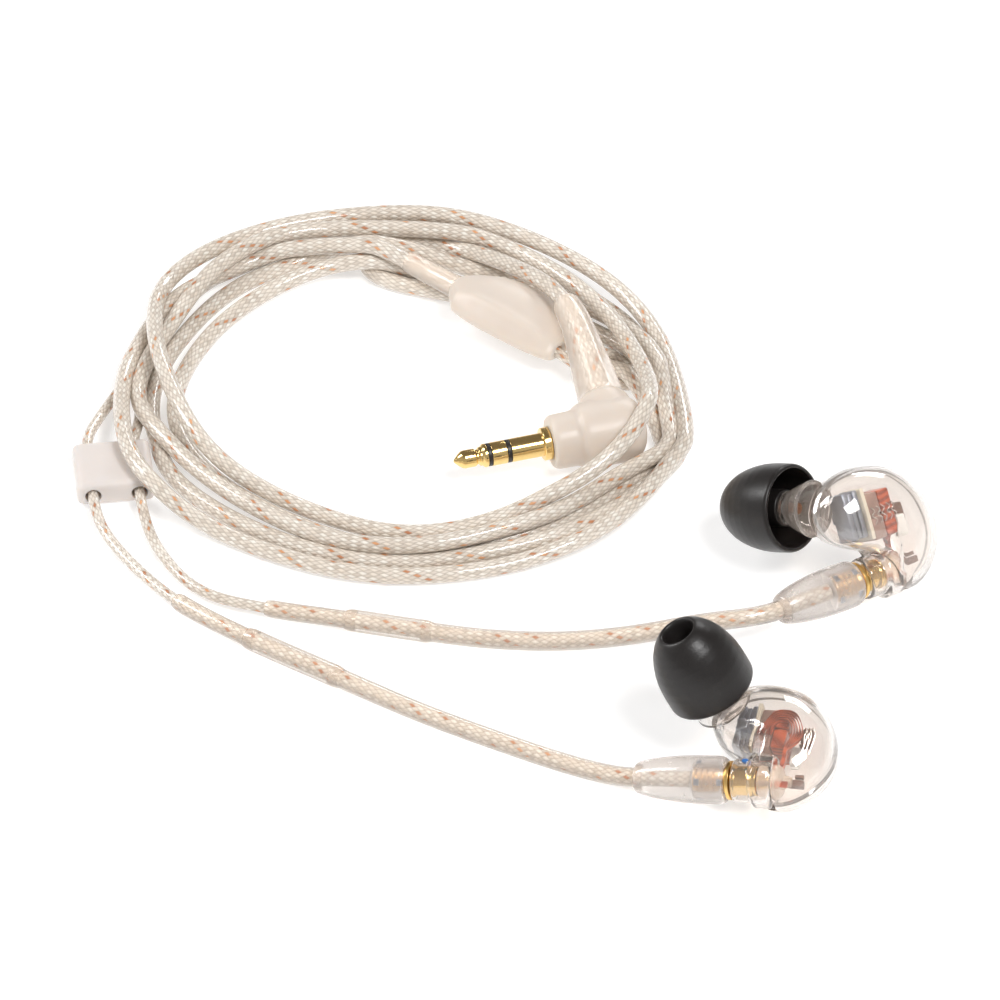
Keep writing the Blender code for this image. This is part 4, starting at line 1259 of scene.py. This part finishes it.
def add_lamps():
    for name, at, size, power in LAMPS:
        data = bpy.data.lights.new(name, "AREA")
        data.shape = "RECTANGLE"
        data.size, data.size_y = size
        data.energy = power
        lamp = linked(name, data)
        lamp.location = at
        aim = Vector(LAMP_AIM) - Vector(at)
        lamp.rotation_euler = aim.to_track_quat("-Z", "Y").to_euler()
    bpy.context.scene.view_settings.view_transform = "Standard"


def light_room():
    """A pale room that is darker overhead and behind, so that polished parts show bands."""
    world = bpy.data.worlds.new("studio")
    bpy.context.scene.world = world
    world.use_nodes = True
    tree = world.node_tree
    place = tree.nodes.new("ShaderNodeTexCoord")
    toward = tree.nodes.new("ShaderNodeVectorMath")
    toward.operation = "DOT_PRODUCT"
    toward.inputs[1].default_value = ROOM_DARK_SIDE
    ramp = tree.nodes.new("ShaderNodeValToRGB")
    for stop, at, colour in zip(ramp.color_ramp.elements, (0.15, 0.8), (ROOM_PALE, ROOM_DARK)):
        stop.position = at
        stop.color = colour
    tree.links.new(place.outputs["Generated"], toward.inputs[0])
    tree.links.new(toward.outputs["Value"], ramp.inputs[0])
    background = tree.nodes["Background"]
    tree.links.new(ramp.outputs[0], background.inputs[0])
    background.inputs[1].default_value = ROOM_STRENGTH


# Cords

PLUG_RELIEF_SHAPE = [(0, 3.75), (0.03, 3.45), (0.25, 3.2), (0.6, 2.6), (0.96, 2.1), (1, 1.75)]
Y_RELIEF_SHAPE = [(0, 1.45), (0.05, 1.65), (0.9, 1.75), (1, 1.85)]
# Which point after the slider each lead's first clear tube starts at.
FIRST_TUBE = {"left": 2, "right": 3}
SLEEVE_RADIUS = 1.28
COLLAR_RADIUS = 1.62
WIRE_FORM_RADIUS = 1.4
TUBE_END_STEP = 0.18
TUBE_OVERLAP = 1.5
BOOT_OVERLAP = 1.2


def run_of(line, start, end):
    """The part of a line between two lengths, in millimetres."""
    at = np.linspace(start, end, max(3, round((end - start) / 0.8) + 1))
    along = lengths_along(line)
    return np.stack([np.interp(at, along, line[:, k]) for k in range(3)], 1)


def length_to(line, point):
    """How far along a line its nearest point to the given one lies."""
    return lengths_along(line)[np.argmin(np.linalg.norm(line - np.array(point), axis=1))]


def tapered(line, profile):
    """Radii along a line from (share, radius) points."""
    profile = np.array(profile, float)
    return np.interp(np.linspace(0, 1, len(line)), profile[:, 0], profile[:, 1])


def corded(name, line, radius, finish, slot, replaced, sides):
    """A finished tube along a line, riding with the cable."""
    tube = meshed(name, tube_bmesh(line, radius, sides), 50)
    return finished(tube, finish, "cable", slot, replaced)


def relief(name, line, start, end, shape, node):
    """A tapered strain relief on the cable, from one point to another."""
    run = run_of(line, length_to(line, start), length_to(line, end))
    return corded(name, run, tapered(run, shape), "relief", "milky", [node], 32)


def add_cords(lines):
    """The cable and the leads, with the clear tubes and strain reliefs that lie on them."""
    cable_line = curve_through(lines[0], CABLE_STEP)
    cable = corded(
        "cable", cable_line, CABLE_RADIUS, "cable_braid", "braid",
        ["cable_coil", "y_tail", "plug_tail"], 20,
    )
    reliefs = [
        relief(
            "plug_relief", cable_line, FROM_PLUG[0], PLUG_RELIEF_END, PLUG_RELIEF_SHAPE,
            "plug_strain_relief",
        ),
        relief("y_relief", cable_line, INTO_Y[0], Y_RELIEF_END, Y_RELIEF_SHAPE, "y_strain_relief"),
    ]
    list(add_plug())
    for side, line in zip(SIDES, lines[1:]):
        add_lead(side, curve_through(line, LEAD_STEP))


def add_lead(side, line):
    """One lead with its clear lead sleeve, lead collar and wire form."""
    lead = corded(
        side + "_lead_cord", line, LEAD_RADIUS, "lead_braid", "braid",
        [side + "_lead", side + "_y_lead"], 14,
    )
    first = FIRST_TUBE[side]
    marks = [length_to(line, point) for point in LEAD_FROM_SLIDER[side][first : first + 3]]
    boot = length_to(line, boot_point(side, BOOT_TAIL + BOOT_OVERLAP))
    runs = [
        ("lead_sleeve", marks[0], marks[1] + TUBE_OVERLAP, SLEEVE_RADIUS),
        ("lead_collar", marks[1], marks[2], COLLAR_RADIUS),
        ("wire_form", marks[2] - TUBE_OVERLAP, boot, WIRE_FORM_RADIUS),
    ]
    for name, begin, end, radius in runs:
        run = run_of(line, begin, end)
        share = 1 / len(run)
        tip = radius - TUBE_END_STEP
        rounded = tapered(run, [(0, tip), (share, radius), (1 - share, radius), (1, tip)])
        corded(
            f"{side}_{name}_clear", run, rounded, "clear_tube", "milky", [f"{side}_{name}"], 24,
        )


def finish_kept_nodes():
    """Better materials for the CAD nodes that stay: the small parts inside the connectors."""
    kept = {"socket_contact": "gold", "plug_pin": "gold", "plug_insulator": "white"}
    for side in SIDES:
        for name, finish in kept.items():
            mesh = frame["nodes"][f"{side}_{name}"].data
            mesh.materials.clear()
            mesh.materials.append(FINISH[finish])


camera()
FINISH = make_finishes()
add_cords(lay_cords())
for side in SIDES:
    earphone = Earphone(side)
    add_shell(earphone)
    add_nozzle(earphone)
    add_sleeve(earphone)
    add_drivers(earphone)
    add_socket(earphone)
    add_connector(earphone)
add_slider()
add_y_split()
finish_kept_nodes()
add_floor()
light_room()
add_lamps()
